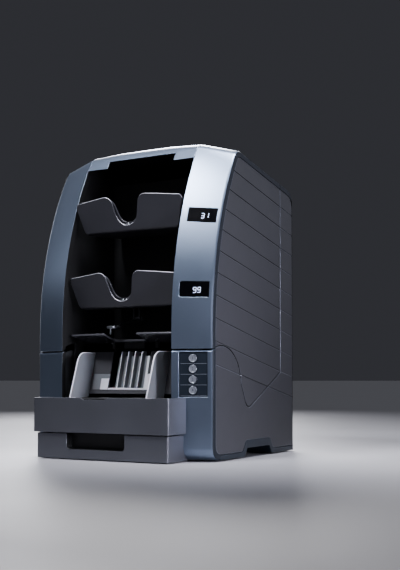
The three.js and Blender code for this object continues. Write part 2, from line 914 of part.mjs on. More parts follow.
function sideFrame() {
  const margin = {
    front: frameMargin, top: frameMargin, rear: skin + fitGap, bottom: fitGap, toe: toeRadius,
  };
  const plate = slabX(sideOutline(frameX, margin), frameX, frameX + frameWall);
  const region = slabX(fixedRegion(-frameWall), 0, caseWidth);
  const hole = rod(0, caseWidth, pinRadius + fitGap, hingeY, hingeZ);
  const shaftHoles = [[feedY, feedZ], [pickoffY, pickoffZ], [motorY, motorZ]]
    .map(([y, z]) => rod(0, caseWidth, shaftRadius + fitGap, y, z));
  const windows = [lowRollerZ, highRollerZ]
    .map((z) => rod(0, caseWidth, shaftRadius + fitGap, towerShaftY, z));
  return cut(plate.intersect(region), slabX(chassisFloor(fitGap), 0, caseWidth),
    hole, ...shaftHoles, ...windows);
}

function hingePin() {
  const near = cheekX - fitGap;
  const outer = frameX + frameWall + fitGap;
  return turnedX([
    [near, 0], [near, pinRadius], [outer, pinRadius], [outer, pinHead], [outer + pinHeadWall, pinHead],
    [outer + pinHeadWall, 0],
  ], hingeY, hingeZ);
}

function pocketCheek() {
  const margin = { front: cheekMargin, top: cheekMargin, rear: caseDepth - cheekRear, bottom: 0 };
  const plate = cut(
    slabX(sideOutline(cheekX, margin), cheekX, cheekX + cheekWall),
    slabX(fixedRegion(cheekWall), 0, caseWidth),
    sweepDisc(0, caseWidth),
  );
  const arm = slabX(rounded(boxCorners(
    hingeY - armFront, hingeY + armRear, hingeZ, seamHeight + armOverlap)), cheekX, cheekX + cheekWall);
  const eye = rod(cheekX, cheekX + cheekWall, eyeRadius, hingeY, hingeZ, tyreSides);
  const wheelHoles = displayZ.map((unused, i) => (
    rod(0, caseWidth, shaftRadius + fitGap, wheelY, wheelZ(i))));
  return cut(join(plate, arm, eye), rod(0, caseWidth, pinRadius + fitGap, hingeY, hingeZ), ...wheelHoles);
}

function rearCover() {
  const shell = cut(caseBody(0), caseBody(skin))
    .intersect(slabX(fixedRegion(-seamGap / 2), -caseWidth, caseWidth));
  const keep = join(
    block(-caseWidth, caseWidth, caseDepth - skin, farAway, footHeight, farAway),
    block(-caseWidth, caseWidth, towerY - overrun, farAway, towerWallTop, farAway),
  );
  const cutters = [inletHole(), portsHole()];
  for (let i = 0; i < ventCount; i += 1) {
    const top = ventTop - ventPitch * i;
    const half = ventWidth / 2;
    const slot = rounded(boxCorners(-half, half, top - ventHeight, top, ventHeight / 2), slotSteps);
    cutters.push(slabY(slot, caseDepth - overrun, caseDepth + overrun));
  }
  const sideHole = panelHole();
  return cut(shell.intersect(keep), sideHole, mirrored(sideHole), ...cutters);
}

// Hopper front
function plainBox(half, front, rear, bottom, top, wall, floor) {
  const outer = slabZ(rounded([
    [-half, front, hopperCorner], [half, front, hopperCorner], [half, rear], [-half, rear],
  ]), bottom, top);
  const innerHalf = half - wall;
  const innerCorner = hopperCorner - wall / 2;
  const inner = slabZ(rounded([
    [-innerHalf, front + wall, innerCorner], [innerHalf, front + wall, innerCorner],
    [innerHalf, rear + overrun], [-innerHalf, rear + overrun],
  ]), bottom + floor, top + overrun);
  return { outer, inner };
}

function hopperBox() {
  const { outer, inner } = plainBox(hopperHalf, hopperFront, 0, hopperBottom, hopperTop,
    hopperWall, hopperWall);
  const lip = rounded([
    [frontOffset - lipWidth / 2, hopperTop + overrun],
    [frontOffset - lipWidth / 2, hopperTop],
    [frontOffset - lipWidth / 2 + lipSlope, hopperTop - lipDepth],
    [frontOffset + lipWidth / 2 - lipSlope, hopperTop - lipDepth],
    [frontOffset + lipWidth / 2, hopperTop],
    [frontOffset + lipWidth / 2, hopperTop + overrun],
  ]);
  const half = openingHalf - fitGap;
  const tail = block(-half, half, -edgeLead - overrun, hopperTailRear,
    hopperBottom, hopperBottom + hopperWall);
  const box = cut(outer, inner, caseBody(-fitGap));
  return cut(join(box, tail), slabY(lip, hopperFront - overrun, hopperFront + hopperWall + overrun));
}

// Pull-out drawer
function pullDrawer() {
  const { outer, inner } = plainBox(drawerHalf, drawerFront, 0, drawerBottom, drawerTop,
    drawerWall, drawerWall);
  const face = cut(outer, inner, caseBody(-fitGap));
  const floor = footHeight + baseWall + runGap;
  const boxOuter = block(-drawerBoxHalf, drawerBoxHalf,
    drawerFront + drawerWall / 2, drawerBoxRear, floor, drawerTop);
  const boxInner = block(-drawerBoxHalf + drawerWall, drawerBoxHalf - drawerWall,
    drawerFront + drawerWall + pullDepth, drawerBoxRear - drawerWall, floor + drawerWall, farAway);
  const pull = slabY(rounded([
    [frontOffset - pullWidth / 2, drawerTop + overrun],
    [frontOffset - pullWidth / 2, pullBottom, pullRadius],
    [frontOffset + pullWidth / 2, pullBottom, pullRadius],
    [frontOffset + pullWidth / 2, drawerTop + overrun],
  ]), drawerFront - overrun, drawerFront + pullDepth - drawerWall);
  return cut(join(cut(face, boxInner), cut(boxOuter, boxInner)), pull);
}

// Feeder floor with slots for the pick-off and feed tyres and for the guide feet
function slotZ(x0, x1, y0, y1) {
  return slabZ(rounded(boxCorners(x0, x1, y0, y1)), 0, farAway);
}

function tyreSlots(y, tyre, centres) {
  const depth = feederPlate + tyreProudHeight;
  const reach = Math.sqrt(tyre ** 2 - (tyre - depth) ** 2) + runGap;
  const half = tyreWidth / 2 + runGap;
  return centres.map((x) => slotZ(x - half, x + half, y - reach, y + reach));
}

function feederFloor() {
  const innerHalf = hopperHalf - hopperWall - fitGap;
  const front = hopperFront + hopperWall + fitGap;
  const wide = cut(slabZ(rounded([
    [-innerHalf, front, hopperCorner], [innerHalf, front, hopperCorner], [innerHalf, 0], [-innerHalf, 0],
  ]), feederTop - feederPlate, feederTop), caseBody(-fitGap));
  const tail = block(-feederHalf, feederHalf, -edgeLead - runGap * 2, feederRear,
    feederTop - feederPlate, feederTop);
  const guideSlots = [1, -1].map((side) => {
    const inner = side * (guideX - guideTravelIn - runGap);
    const outer = side * (guideX + guideWall + guideTravelOut + runGap);
    return slotZ(Math.min(inner, outer), Math.max(inner, outer),
      guideFootFront - fitGap, guideFootRear + fitGap);
  });
  return cut(join(wide, tail), ...guideSlots, ...tyreSlots(pickoffY, pickoffTyre, [-pickoffX, pickoffX]),
    ...tyreSlots(feedY, feedTyre, [-pickoffX, pickoffX]));
}

// Leaning back of the hopper: two wall panels, and a comb of ribs between them
function backY(z) {
  return backFootY + Math.tan(backLean) * (z - feederTop);
}

function leaningSlab(x0, x1, bottom, top, front, rear) {
  const outline = [
    [backY(bottom) + front, bottom], [backY(bottom) + rear, bottom],
    [backY(top) + rear, top], [backY(top) + front, top],
  ];
  return slabX(rounded(outline), x0, x1);
}

function feederBack() {
  const foot = feederTop + throatHeight;
  const shoeTop = foot + shoeHeight;
  const combRoom = combHalf + fitGap;
  const shoeRoomHalf = shoeHalf + fitGap;
  const sill = foot + throatHeight;
  const frame = cut(
    leaningSlab(-feederHalf, feederHalf, foot, backTopZ, 0, backWallThickness),
    leaningSlab(-combRoom, combRoom, sill, backTopZ + overrun, -overrun, overrun * 2),
    leaningSlab(-shoeRoomHalf, shoeRoomHalf, sill, shoeTop + fitGap, -overrun, overrun * 2),
  );
  const ears = [-1, 1].map((side) => {
    const inner = retardHalf + fitGap;
    const outer = inner + backWallThickness;
    const [x0, x1] = side > 0 ? [inner, outer] : [-outer, -inner];
    const bottom = foot;
    const outline = rounded([
      [backY(bottom) + backWallThickness / 2, bottom],
      [feedY + eyeRadius, bottom, shaftRadius],
      [feedY + eyeRadius, retardZ + eyeRadius, shaftRadius],
      [backY(retardZ + eyeRadius) + backWallThickness / 2, retardZ + eyeRadius],
    ]);
    const shoeRoom = leaningSlab(x0 - overrun, x1 + overrun, sill, shoeTop + fitGap,
      -overrun, backWallThickness + fitGap);
    const eye = rod(x0 - overrun, x1 + overrun, shaftRadius / 2 + fitGap, feedY, retardZ);
    return cut(slabX(outline, x0, x1), eye, shoeRoom);
  });
  return join(frame, ...ears);
}

function feederComb() {
  const bottom = feederTop + 2 * throatHeight + fitGap;
  const shoeTop = feederTop + throatHeight + shoeHeight;
  const rear = ribDepth + backWallThickness;
  const padTop = backTopZ - padDrop;
  const shoes = leaningSlab(-shoeHalf, shoeHalf, bottom, shoeTop, 0, backWallThickness);
  const combBack = leaningSlab(-combHalf + combSlot, combHalf, bottom, padTop, ribDepth, rear);
  const combFoot = leaningSlab(-combHalf, combHalf, bottom, bottom + skin, 0, rear);
  const window = leaningSlab(-combHalf, combHalf, bottom + skin, shoeTop + overrun, -overrun, ribDepth);
  const ribs = ribPlaceShares.map((place) => {
    const x = place * ribPitch;
    return leaningSlab(x - ribWall / 2, x + ribWall / 2, bottom, backTopZ, 0, rear);
  });
  const pad = leaningSlab(combHalf - padWidth / 2, combHalf, bottom, padTop, 0, rear);
  const step = leaningSlab(-stepHalf, -combHalf, bottom, shoeTop - stepDrop, -stepWall, stepWall);
  return join(cut(shoes, window), combFoot, combBack, pad, step, ...ribs);
}

// Sliding note guide with a curved front edge and a foot through the floor
function noteGuide() {
  const bottom = feederTop + fitGap;
  const outline = rounded([
    [guideNoseBottom, bottom],
    [guideFootFront, bottom],
    [guideFootFront, feederTop - guideFootDrop],
    [guideFootRear, feederTop - guideFootDrop],
    [guideFootRear, bottom],
    [backY(bottom) - runGap, bottom],
    [backY(guideTop) - runGap, guideTop],
    [guideNoseTop, guideTop, guideNoseRadius],
  ], fineSteps);
  return slabX(outline, guideX, guideX + guideWall);
}

// Rollers
function tyredShaft(half, tyre, centres, width, y, z) {
  const profile = [[-half, 0], [-half, shaftRadius]];
  centres.forEach((x) => {
    const ends = [x - width / 2, x + width / 2];
    profile.push([ends[0], shaftRadius], [ends[0], tyre], [ends[1], tyre], [ends[1], shaftRadius]);
  });
  profile.push([half, shaftRadius], [half, 0]);
  return turnedX(profile, y, z, tyreSides);
}

function pickoffShaft() {
  return tyredShaft(frameX + frameWall, pickoffTyre, [-pickoffX, pickoffX], tyreWidth, pickoffY, pickoffZ);
}

function feedShaft() {
  const shaft = tyredShaft(frameX + frameWall, feedTyre, [-pickoffX, pickoffX], tyreWidth, feedY, feedZ);
  return join(shaft, pulley(bigPulleyRadius, feedY, feedZ));
}

function retardShaft() {
  const half = retardHalf;
  const end = half + fitGap + backWallThickness;
  const profile = [[-end, 0], [-end, shaftRadius / 2], [-half, shaftRadius / 2], [-half, shaftRadius]];
  [-pickoffX, pickoffX].forEach((x) => {
    const near = x - tyreWidth / 2;
    const far = x + tyreWidth / 2;
    profile.push([near, shaftRadius], [near, retardTyre], [far, retardTyre], [far, shaftRadius]);
  });
  profile.push([half, shaftRadius], [half, shaftRadius / 2], [end, shaftRadius / 2], [end, 0]);
  return turnedX(profile, feedY, retardZ, tyreSides);
}

function towerShaft(z) {
  return tyredShaft(frameX + frameWall, pathTyre, [-pickoffX, pickoffX], tyreWidth, towerShaftY, z);
}

// Belt drive on the right side frame
function pulley(radius, y, z) {
  const lip = radius + pulleyLip;
  return turnedX([
    [pulleyNear - overrun, 0], [pulleyNear - overrun, shaftRadius],
    [pulleyNear, shaftRadius], [pulleyNear, lip],
    [pulleyNear + pulleyLip, lip], [pulleyNear + pulleyLip, radius],
    [pulleyFar - pulleyLip, radius], [pulleyFar - pulleyLip, lip], [pulleyFar, lip], [pulleyFar, 0],
  ], y, z, tyreSides);
}

function beltOutline(extra) {
  const small = pulleyRadius + extra;
  const big = bigPulleyRadius + extra;
  const run = new THREE.Vector2(motorY - feedY, motorZ - feedZ);
  const direction = run.angle();
  const open = Math.acos((big - small) / run.length());
  const outline = [];
  const arc = (y, z, radius, from, to) => {
    for (let i = 0; i <= tyreSides / 2; i += 1) {
      const angle = from + (to - from) * i * 2 / tyreSides;
      outline.push(new THREE.Vector2(y + radius * Math.cos(angle), z + radius * Math.sin(angle)));
    }
  };
  arc(motorY, motorZ, small, direction - open, direction + open);
  arc(feedY, feedZ, big, direction + open, direction - open + 2 * Math.PI);
  return outline;
}

function driveBelt() {
  const near = pulleyNear + pulleyLip + fitGap;
  const play = runGap / 2;
  return slabX(beltOutline(play + beltWall), near, pulleyFar - pulleyLip - fitGap, [beltOutline(play)]);
}

function motorPulley() {
  const shaftEnd = frameX - 2 * baseWall - motorLength * motorShaftShare;
  const shaft = rod(shaftEnd, pulleyNear, shaftRadius, motorY, motorZ);
  return join(shaft, pulley(pulleyRadius, motorY, motorZ));
}

function driveMotor() {
  const face = frameX - fitGap;
  const flange = face - baseWall;
  const tail = flange - motorLength;
  const body = turnedX([
    [tail, 0], [tail, motorRadius - pulleyLip], [tail + pulleyLip, motorRadius],
    [flange, motorRadius], [flange, 0],
  ], motorY, motorZ, tyreSides * 2);
  const square = motorRadius + pulleyLip;
  const plate = slabX(rounded(boxCorners(
    motorY - square, motorY + square, motorZ - square, motorZ + square, overrun)), flange - pulleyLip, face);
  const bore = rod(flange - motorLength * motorBoreShare, face + overrun, shaftRadius + fitGap,
    motorY, motorZ);
  return cut(join(body, plate), bore);
}

// Note path: a fixed sheet below and behind, and the module's own sheet above and in front of it
function sheetOutline(line, thickness) {
  const points = line.map(([u, v]) => new THREE.Vector2(u, v));
  const ways = points.slice(1).map((point, i) => point.clone().sub(points[i]).normalize());
  const normals = ways.map((way) => new THREE.Vector2(-way.y, way.x));
  const far = points.map((point, i) => {
    const before = normals[Math.max(i - 1, 0)];
    const after = normals[Math.min(i, normals.length - 1)];
    const turnsLeft = i > 0 && i < ways.length && ways[i - 1].cross(ways[i]) > 0;
    const shift = before.clone().add(after).multiplyScalar(thickness / (1 + before.dot(after)));
    const radius = line[i][2] ? line[i][2] + (turnsLeft ? -thickness : thickness) : 0;
    return [point.x + shift.x, point.y + shift.y, radius];
  });
  return rounded([...line, ...far.reverse()]);
}

function slopeZ(y) {
  return tongueZ + (y - tongueY) * (sashZ - tongueZ) / (towerY - tongueY);
}

function transportWall() {
  const front = moduleWallY + pathGap;
  const half = frameX - fitGap;
  const line = [
    [front, towerWallTop],
    [front, slopeZ(front) - slopeGap, pathGap * 2],
    [tongueY, tongueZ - slopeGap, pathGap * 2],
    [feederRear + runGap, feederTop - feederPlate],
  ];
  const windows = [lowRollerZ, highRollerZ].flatMap((z) => [-1, 1].map((side) => block(
    side * pickoffX - tyreWidth / 2 - runGap, side * pickoffX + tyreWidth / 2 + runGap,
    front - overrun, front + overrun, z - pathTyre, z + pathTyre)));
  return cut(slabX(sheetOutline(line, pathWall), -half, half), ...windows);
}

function moduleGuide() {
  const half = cheekX - fitGap;
  const line = [
    [guideEntryY, slopeZ(tongueY) + slopeGap + guideEntryRise],
    [tongueY, slopeZ(tongueY) + slopeGap, pathGap * 2],
    [moduleWallY, slopeZ(moduleWallY) + slopeGap, pathGap * 2],
    [moduleWallY, moduleWallTop],
  ];
  return slabX(sheetOutline(line, pathWall), -half, half);
}

function sensorBar() {
  const front = moduleWallY + pathGap + pathWall + fitGap;
  const half = pathHalf;
  const low = (lowRollerZ + highRollerZ) / 2 - pathTyre;
  const depth = pathTyre * sensorShare;
  const outline = rounded(boxCorners(front, front + depth, low, low + 2 * pathTyre, runGap));
  const body = slabX(outline, -half, half);
  const groove = block(-half + overrun, half - overrun, front + pathTyre, farAway,
    low + pathTyre / 2, low + depth);
  return cut(body, groove);
}

// Pocket trays: a bowed sheet that leans forward at its top, with a finger notch and tapered ends
function bowAt(x) {
  return x ** 2 / (2 * trayBow);
}

function bowedSheet(half, line, wall) {
  const stations = [-1, -trayStationShare, 0, trayStationShare, 1].map((share) => share * half);
  return loft(stations.map((x) => {
    const shifted = line.map(([y, z, radius, fixed]) => [fixed ? y : y + bowAt(x), z, radius]);
    return { x, outline: sheetOutline(shifted, wall) };
  }));
}

function trayLine(topY, topZ, height, rear) {
  const bendY = topY + height * Math.tan(trayLean);
  const rise = (rear - bendY) * Math.tan(trayFloorRise);
  return [[topY, topZ], [bendY, topZ - height, trayBend], [rear, topZ - height + rise, 0, true]];
}

function trayFace(topZ, height, notch) {
  const half = trayHalf;
  const corner = trayShoulder;
  const right = [
    [half - trayTaper - trayFoot, topZ - height - farAway],
    [half - trayTaper - trayFoot, topZ - height],
    [half - trayTaper, topZ - height + corner, corner / 2],
    [half, topZ - 2 * corner, corner / 2],
    [half - corner / 2, topZ - corner, corner / 2],
    [notchHalf, topZ, notchCorner],
    [notch.foot, topZ - notch.depth, notch.radius],
  ];
  const left = right.map(([x, z, radius]) => [-x, z, radius]).reverse();
  return slabY(rounded([...right, ...left], fineSteps), -farAway, farAway);
}

function pocketTray(i) {
  const line = trayLine(trayTopY[i], trayTopZ[i], trayHeight, trayFloorRear);
  const notch = { foot: notchFoot, radius: notchRadius, depth: notchDepth };
  return bowedSheet(trayHalf, line, trayWall).intersect(trayFace(trayTopZ[i], trayHeight, notch));
}

// Two lugs under the lower tray carry the hold-down arm
function armLugs() {
  const bendY = trayTopY[1] + trayHeight * Math.tan(trayLean);
  const top = trayTopZ[1] - trayHeight + (armPivotY - bendY) * Math.tan(trayFloorRise) + trayWall / 2;
  return [-1, 1].map((side) => {
    const near = armX + side * (armWidth * armEyeShare + fitGap);
    const far = near + side * lugWall;
    const outline = rounded([
      [armPivotY - lugHalf, armPivotZ - armRod * 2, lugHalf / 2],
      [armPivotY + lugHalf, armPivotZ - armRod * 2, lugHalf / 2],
      [armPivotY + lugHalf, top], [armPivotY - lugHalf, top],
    ]);
    const hole = rod(-caseWidth, caseWidth, armRod + fitGap, armPivotY, armPivotZ);
    return cut(slabX(outline, Math.min(near, far), Math.max(near, far)), hole);
  });
}

function trayLiner(i) {
  const height = trayHeight - linerDrop - linerLift;
  const topY = trayTopY[i] + linerGap;
  const bendY = topY + height * Math.tan(trayLean);
  const top = trayTopZ[i] - linerDrop;
  const rise = linerReach * Math.tan(trayFloorRise);
  const foot = top - height;
  const line = [[topY, top], [bendY, foot, trayBend], [bendY + linerReach, foot + rise, 0, true]];
  const notch = { foot: linerFoot, radius: linerRadius, depth: notchDepth - linerDrop - linerLip };
  return bowedSheet(trayHalf - trayWall, line, trayWall).intersect(trayFace(top, height, notch));
}

function rejectTray() {
  const bendY = rejectTopY + rejectRun;
  const line = [
    [rejectTopY, rejectTopZ],
    [bendY, rejectTopZ - rejectDrop, trayShoulder],
    [trayFloorRear, rejectTopZ - rejectDrop - rejectFall, 0, true],
  ];
  const notch = slabZ(rounded([
    [-rejectNotchHalf, -farAway],
    [rejectNotchHalf, -farAway],
    [rejectNotchHalf, bendY - rejectNotchEnd, trayShoulder],
    [-rejectNotchHalf, bendY - rejectNotchEnd, trayShoulder],
  ]), 0, farAway);
  return cut(bowedSheet(trayHalf, line, trayWall), notch);
}

// Wall behind the pockets, with slots for the stacker wheels
function wheelZ(i) {
  return trayTopZ[i] - trayHeight * (1 - wheelRiseShare);
}

function pocketWall() {
  const half = cheekX - fitGap;
  const setBack = wheelY - pocketWallY - pocketWallThickness;
  const reach = Math.sqrt(wheelRadius ** 2 - setBack ** 2) + runGap * 2 + runGap;
  const slots = trayTopZ.flatMap((unused, i) => [-wheelX, wheelX].map((x) => {
    const side = wheelWall / 2 + runGap * 2;
    const corners = boxCorners(x - side, x + side, wheelZ(i) - reach, wheelZ(i) + reach, side / 2);
    return slabY(rounded(corners), 0, farAway);
  }));
  const plate = block(-half, half, pocketWallY, pocketWallY + pocketWallThickness,
    pocketWallFoot, pocketWallTop);
  return cut(plate, ...slots);
}

// Stacker shaft with two wheels of curved fingers
function stackerWheel(x, z) {
  const outline = [];
  const step = 2 * Math.PI / wheelFingers;
  const ribs = roundSteps;
  for (let finger = 0; finger < wheelFingers; finger += 1) {
    for (let i = 0; i <= ribs; i += 1) {
      const share = i / ribs;
      const radius = wheelHub + (wheelRadius - wheelHub) * share;
      const angle = finger * step + wheelSweep * share;
      outline.push(new THREE.Vector2(wheelY + radius * Math.cos(angle), z + radius * Math.sin(angle)));
    }
    for (let i = ribs; i > 0; i -= 1) {
      const share = i / ribs;
      const radius = wheelHub + (wheelRadius - wheelHub) * share;
      const width = step * fingerWidthShare * (1 - share * fingerTaperShare);
      const angle = finger * step + wheelSweep * share + width;
      outline.push(new THREE.Vector2(wheelY + radius * Math.cos(angle), z + radius * Math.sin(angle)));
    }
  }
  return slabX(outline, x - wheelWall / 2, x + wheelWall / 2);
}

function stackerShaft(i) {
  const half = cheekX + cheekWall;
  const wheels = [-wheelX, wheelX].map((x) => stackerWheel(x, wheelZ(i)));
  return join(rod(-half, half, shaftRadius, wheelY, wheelZ(i)), ...wheels);
}

// Hold-down arm over the reject tray, on its own cross rod
function rejectArm() {
  const half = armWidth / 2;
  const end = half / 2 + fitGap + lugWall;
  const crossRod = rod(armX - end, armX + end, armRod, armPivotY, armPivotZ);
  const boss = rod(armX - half / 2, armX + half / 2, armRod * 2, armPivotY, armPivotZ);
  const blade = slabX(sheetOutline([
    [armPivotY + armRod, armPivotZ + armRod / 2],
    [armElbowY, armElbowZ, armRod * 2],
    [armTipY, armElbowZ - armRod],
  ], armRod * bladeShare), armX - half / 2, armX + half / 2);
  const pad = slabZ(rounded(boxCorners(
    armX - half, armX + half, armTipY - padReach, armElbowY, padCorner,
  )), armElbowZ - armRod * 2, armElbowZ - armRod / 2);
  const stemY = armTipY + padReach;
  const stem = slabZ(
    circleOutline(armX - stemOffset, stemY, stemRadius), armElbowZ - armRod - armTipDrop, armElbowZ - armRod);
  return join(crossRod, boss, blade, pad, stem);
}

// Display windows and keypad
function displayWindow(i) {
  const z = displayZ[i];
  const near = skin + 2 * fitGap;
  const far = near + skin / 2;
  return join(
    faceBlock(displayX, z, displayWidth, displayHeight, displayRecess, far, 0),
    faceBlock(displayX, z, displayWidth, displayHeight, near, far, displayRim),
  );
}

function faceTurned(x, z, profile) {
  const points = profile.map(([depth, radius]) => new THREE.Vector2(radius, -depth));
  const lathe = new THREE.LatheGeometry(points, tyreSides);
  lathe.applyMatrix4(new THREE.Matrix4().makeBasis(axisX, axisZ, axisY.clone().negate()));
  return toSolid(lathe.applyMatrix4(faceMatrix(x, z)));
}

function buttonZ(i) {
  return buttonTopZ - buttonPitch * i;
}

function keypadPlate() {
  const rear = skin + fitGap + keypadWall;
  const plate = join(
    faceBlock(keypadX, keypadZ, keypadWidth, keypadHeight, keypadRecess, rear),
    faceBlock(keypadX, keypadZ, keypadWidth, keypadHeight, skin + fitGap, rear, displayRim),
  );
  const holes = Array.from({ length: buttonCount }, (unused, i) => faceTurned(keypadX, buttonZ(i), [
    [-overrun, 0], [-overrun, buttonRadius + fitGap], [2 * overrun, buttonRadius + fitGap], [2 * overrun, 0],
  ]));
  return cut(plate, ...holes);
}

function keypadButton(i) {
  const front = keypadRecess - buttonProud;
  const rear = skin + keypadWall + 2 * fitGap;
  return faceTurned(keypadX, buttonZ(i), [
    [front + buttonDish, 0], [front, buttonRadius - buttonRim * 2], [front, buttonRadius - buttonRim],
    [front + buttonRim / 2, buttonRadius],
    [rear, buttonRadius], [rear, buttonRadius + buttonRim], [rear + buttonRimWall, buttonRadius + buttonRim],
    [rear + buttonRimWall, 0],
  ]);
}

// Rear fittings
function inletHole() {
  return slabY(rounded(boxCorners(
    inletX - inletWidth / 2 - fitGap, inletX + inletWidth / 2 + switchWidth + fitGap,
    inletZ - inletHeight / 2 - fitGap, inletZ + inletHeight / 2 + fitGap, runGap,
  )), caseDepth - 2 * overrun, caseDepth + overrun);
}

function portsHole() {
  return slabY(rounded(boxCorners(
    portsX - portsWidth / 2 - fitGap, portsX + portsWidth / 2 + fitGap,
    inletZ - portsHeight / 2 - fitGap, inletZ + portsHeight / 2 + fitGap, runGap,
  )), caseDepth - 2 * overrun, caseDepth + overrun);
}

function powerInlet() {
  const rear = caseDepth - fitGap;
  const x0 = inletX - inletWidth / 2;
  const x1 = inletX + inletWidth / 2;
  const z0 = inletZ - inletHeight / 2;
  const z1 = inletZ + inletHeight / 2;
  const body = slabY(rounded(boxCorners(x0, x1 + switchWidth, z0, z1, runGap)), rear - inletDepth, rear);
  const socket = slabY(rounded([
    [x0 + skin, z0 + skin, runGap], [x1 - skin, z0 + skin, runGap], [x1 - skin, z1 - skin, overrun],
    [x0 + skin, z1 - skin, overrun],
  ]), rear - inletDepth + skin, rear + overrun);
  const blades = [-1, 0, 1].map((place) => block(
    inletX + place * bladePitch - runGap / 2, inletX + place * bladePitch + runGap / 2,
    rear - inletDepth, rear - skin * 2, inletZ - skin, inletZ + skin));
  const well = block(x1 + skin, x1 + switchWidth - skin, rear - rockerWell, rear + overrun,
    z0 + skin, z1 - skin);
  return join(cut(body, socket, well), ...blades);
}

function rockerAxis() {
  return { x: inletX + inletWidth / 2 + switchWidth / 2, y: caseDepth - fitGap - rockerWell / 2, z: inletZ };
}

function powerRocker() {
  const { x, y, z } = rockerAxis();
  const half = switchWidth / 2 - skin - fitGap;
  const tall = inletHeight / 2 - skin - runGap;
  const tilt = rockerTilt;
  const outline = rounded([
    [-rockerThrow / 2, -tall * rockerFootShare], [rockerThrow, -tall], [rockerThrow / 2, 0],
    [rockerThrow, tall], [-rockerThrow / 2, tall * rockerFootShare], [-rockerThrow, 0],
  ]);
  const turned = outline.map((point) => point.clone().rotateAround(new THREE.Vector2(0, 0), -tilt)
    .add(new THREE.Vector2(y, z)));
  return slabX(turned, x - half, x + half);
}

function dataPorts() {
  const rear = caseDepth - fitGap;
  const x0 = portsX - portsWidth / 2;
  const z0 = inletZ - portsHeight / 2;
  const outline = rounded(boxCorners(x0, x0 + portsWidth, z0, z0 + portsHeight, runGap));
  const body = slabY(outline, rear - portsDepth, rear);
  const cell = portsWidth / portShares.length;
  const sockets = portShares.map(([wide, tall], i) => {
    const x = x0 + cell * (i + 1 / 2);
    const halfX = cell * wide / 2;
    const halfZ = portsHeight * tall / 2;
    return block(x - halfX, x + halfX, rear - portsDepth + skin, rear + overrun,
      inletZ - halfZ, inletZ + halfZ);
  });
  return cut(body, ...sockets);
}

// Supply, board and feet inside the base
function powerSupply() {
  const floor = footHeight + baseWall + fitGap;
  const y0 = deckY - deckDepth / 2;
  const y1 = deckY + deckDepth / 2;
  const x0 = supplyX - supplyWidth / 2;
  const box = block(x0, x0 + supplyWidth, y0, y1, floor, floor + supplyHeight);
  const slots = Array.from({ length: ventCount }, (unused, i) => {
    const x = x0 + supplyWidth * (i + 1) / (ventCount + 1);
    const half = ventHeight * supplySlotShare;
    return block(x - half, x + half, y0 + overrun, y1 - overrun, floor + supplyHeight - skin, farAway);
  });
  return cut(box, ...slots);
}

function controlBoard() {
  const floor = footHeight + baseWall + fitGap;
  const x0 = boardX - boardWidth / 2;
  const x1 = boardX + boardWidth / 2;
  const y0 = deckY - deckDepth / 2;
  const y1 = deckY + deckDepth / 2;
  const deck = floor + postHeight;
  const board = block(x0, x1, y0, y1, deck, deck + boardWall);
  const posts = [[x0, y0], [x1, y0], [x0, y1], [x1, y1]].map(([x, y]) => {
    const px = x + Math.sign(boardX - x) * postInset;
    const py = y + Math.sign(deckY - y) * postInset;
    return slabZ(circleOutline(px, py, postRadius), floor, deck + boardWall / 2);
  });
  const chips = chipShares.map(([u, v, wide, tall]) => {
    const x = x0 + boardWidth * u;
    const y = y0 + deckDepth * v;
    const top = deck + boardWall + postHeight * tall;
    return block(x, x + boardWidth * wide, y, y + deckDepth * wide, deck, top);
  });
  return join(board, ...posts, ...chips);
}

function rubberFoot(x, y) {
  const top = footHeight - fitGap;
  const edge = runGap / 2;
  const profile = [[0, 0], [footRadius - edge, 0], [footRadius, edge], [footRadius, top], [0, top]];
  const lathe = new THREE.LatheGeometry(profile.map(([r, z]) => new THREE.Vector2(r, z)), tyreSides);
  lathe.applyMatrix4(new THREE.Matrix4().makeBasis(axisX, axisZ, axisY.clone().negate()));
  return toSolid(moved(lathe, x, y, 0));
}

// Materials
function finish(color, roughness, metalness) {
  return () => new THREE.MeshStandardMaterial({ color, roughness, metalness, flatShading: true });
}

const silver = finish('#9aa2b4', 0.38, 0.55);
const slate = finish('#4d5566', 0.42, 0.4);
const panelGrey = finish('#55555c', 0.55, 0.2);
const trayGrey = finish('#3a3a41', 0.4, 0.1);
const blackPlastic = finish('#15161a', 0.5, 0);
const whitePlastic = finish('#d6d5de', 0.45, 0);
const steel = finish('#a9adb3', 0.35, 0.9);
const rubber = finish('#1c1c1e', 0.85, 0);
const glass = finish('#050608', 0.08, 0);
const keyMetal = finish('#a4a8b2', 0.35, 0.7);
const boardGreen = finish('#1f5a3a', 0.6, 0);

// Assembly
const machine = new THREE.Group();
machine.name = 'banknote_counter';
machine.position.y = -(hopperFront + caseDepth) / 2;

function add(name, solid, material) {
  const mesh = new THREE.Mesh(toGeometry(solid), material());
  mesh.name = name;
  machine.add(mesh);
}

function addPair(name, solid, material) {
  add(`${name}_right`, solid, material);
  add(`${name}_left`, mirrored(solid), material);
}

const feet = [
  ['foot_front_left', -footX, footFrontY], ['foot_front_right', footX, footFrontY],
  ['foot_rear_left', -footX, footRearY], ['foot_rear_right', footX, footRearY],
];

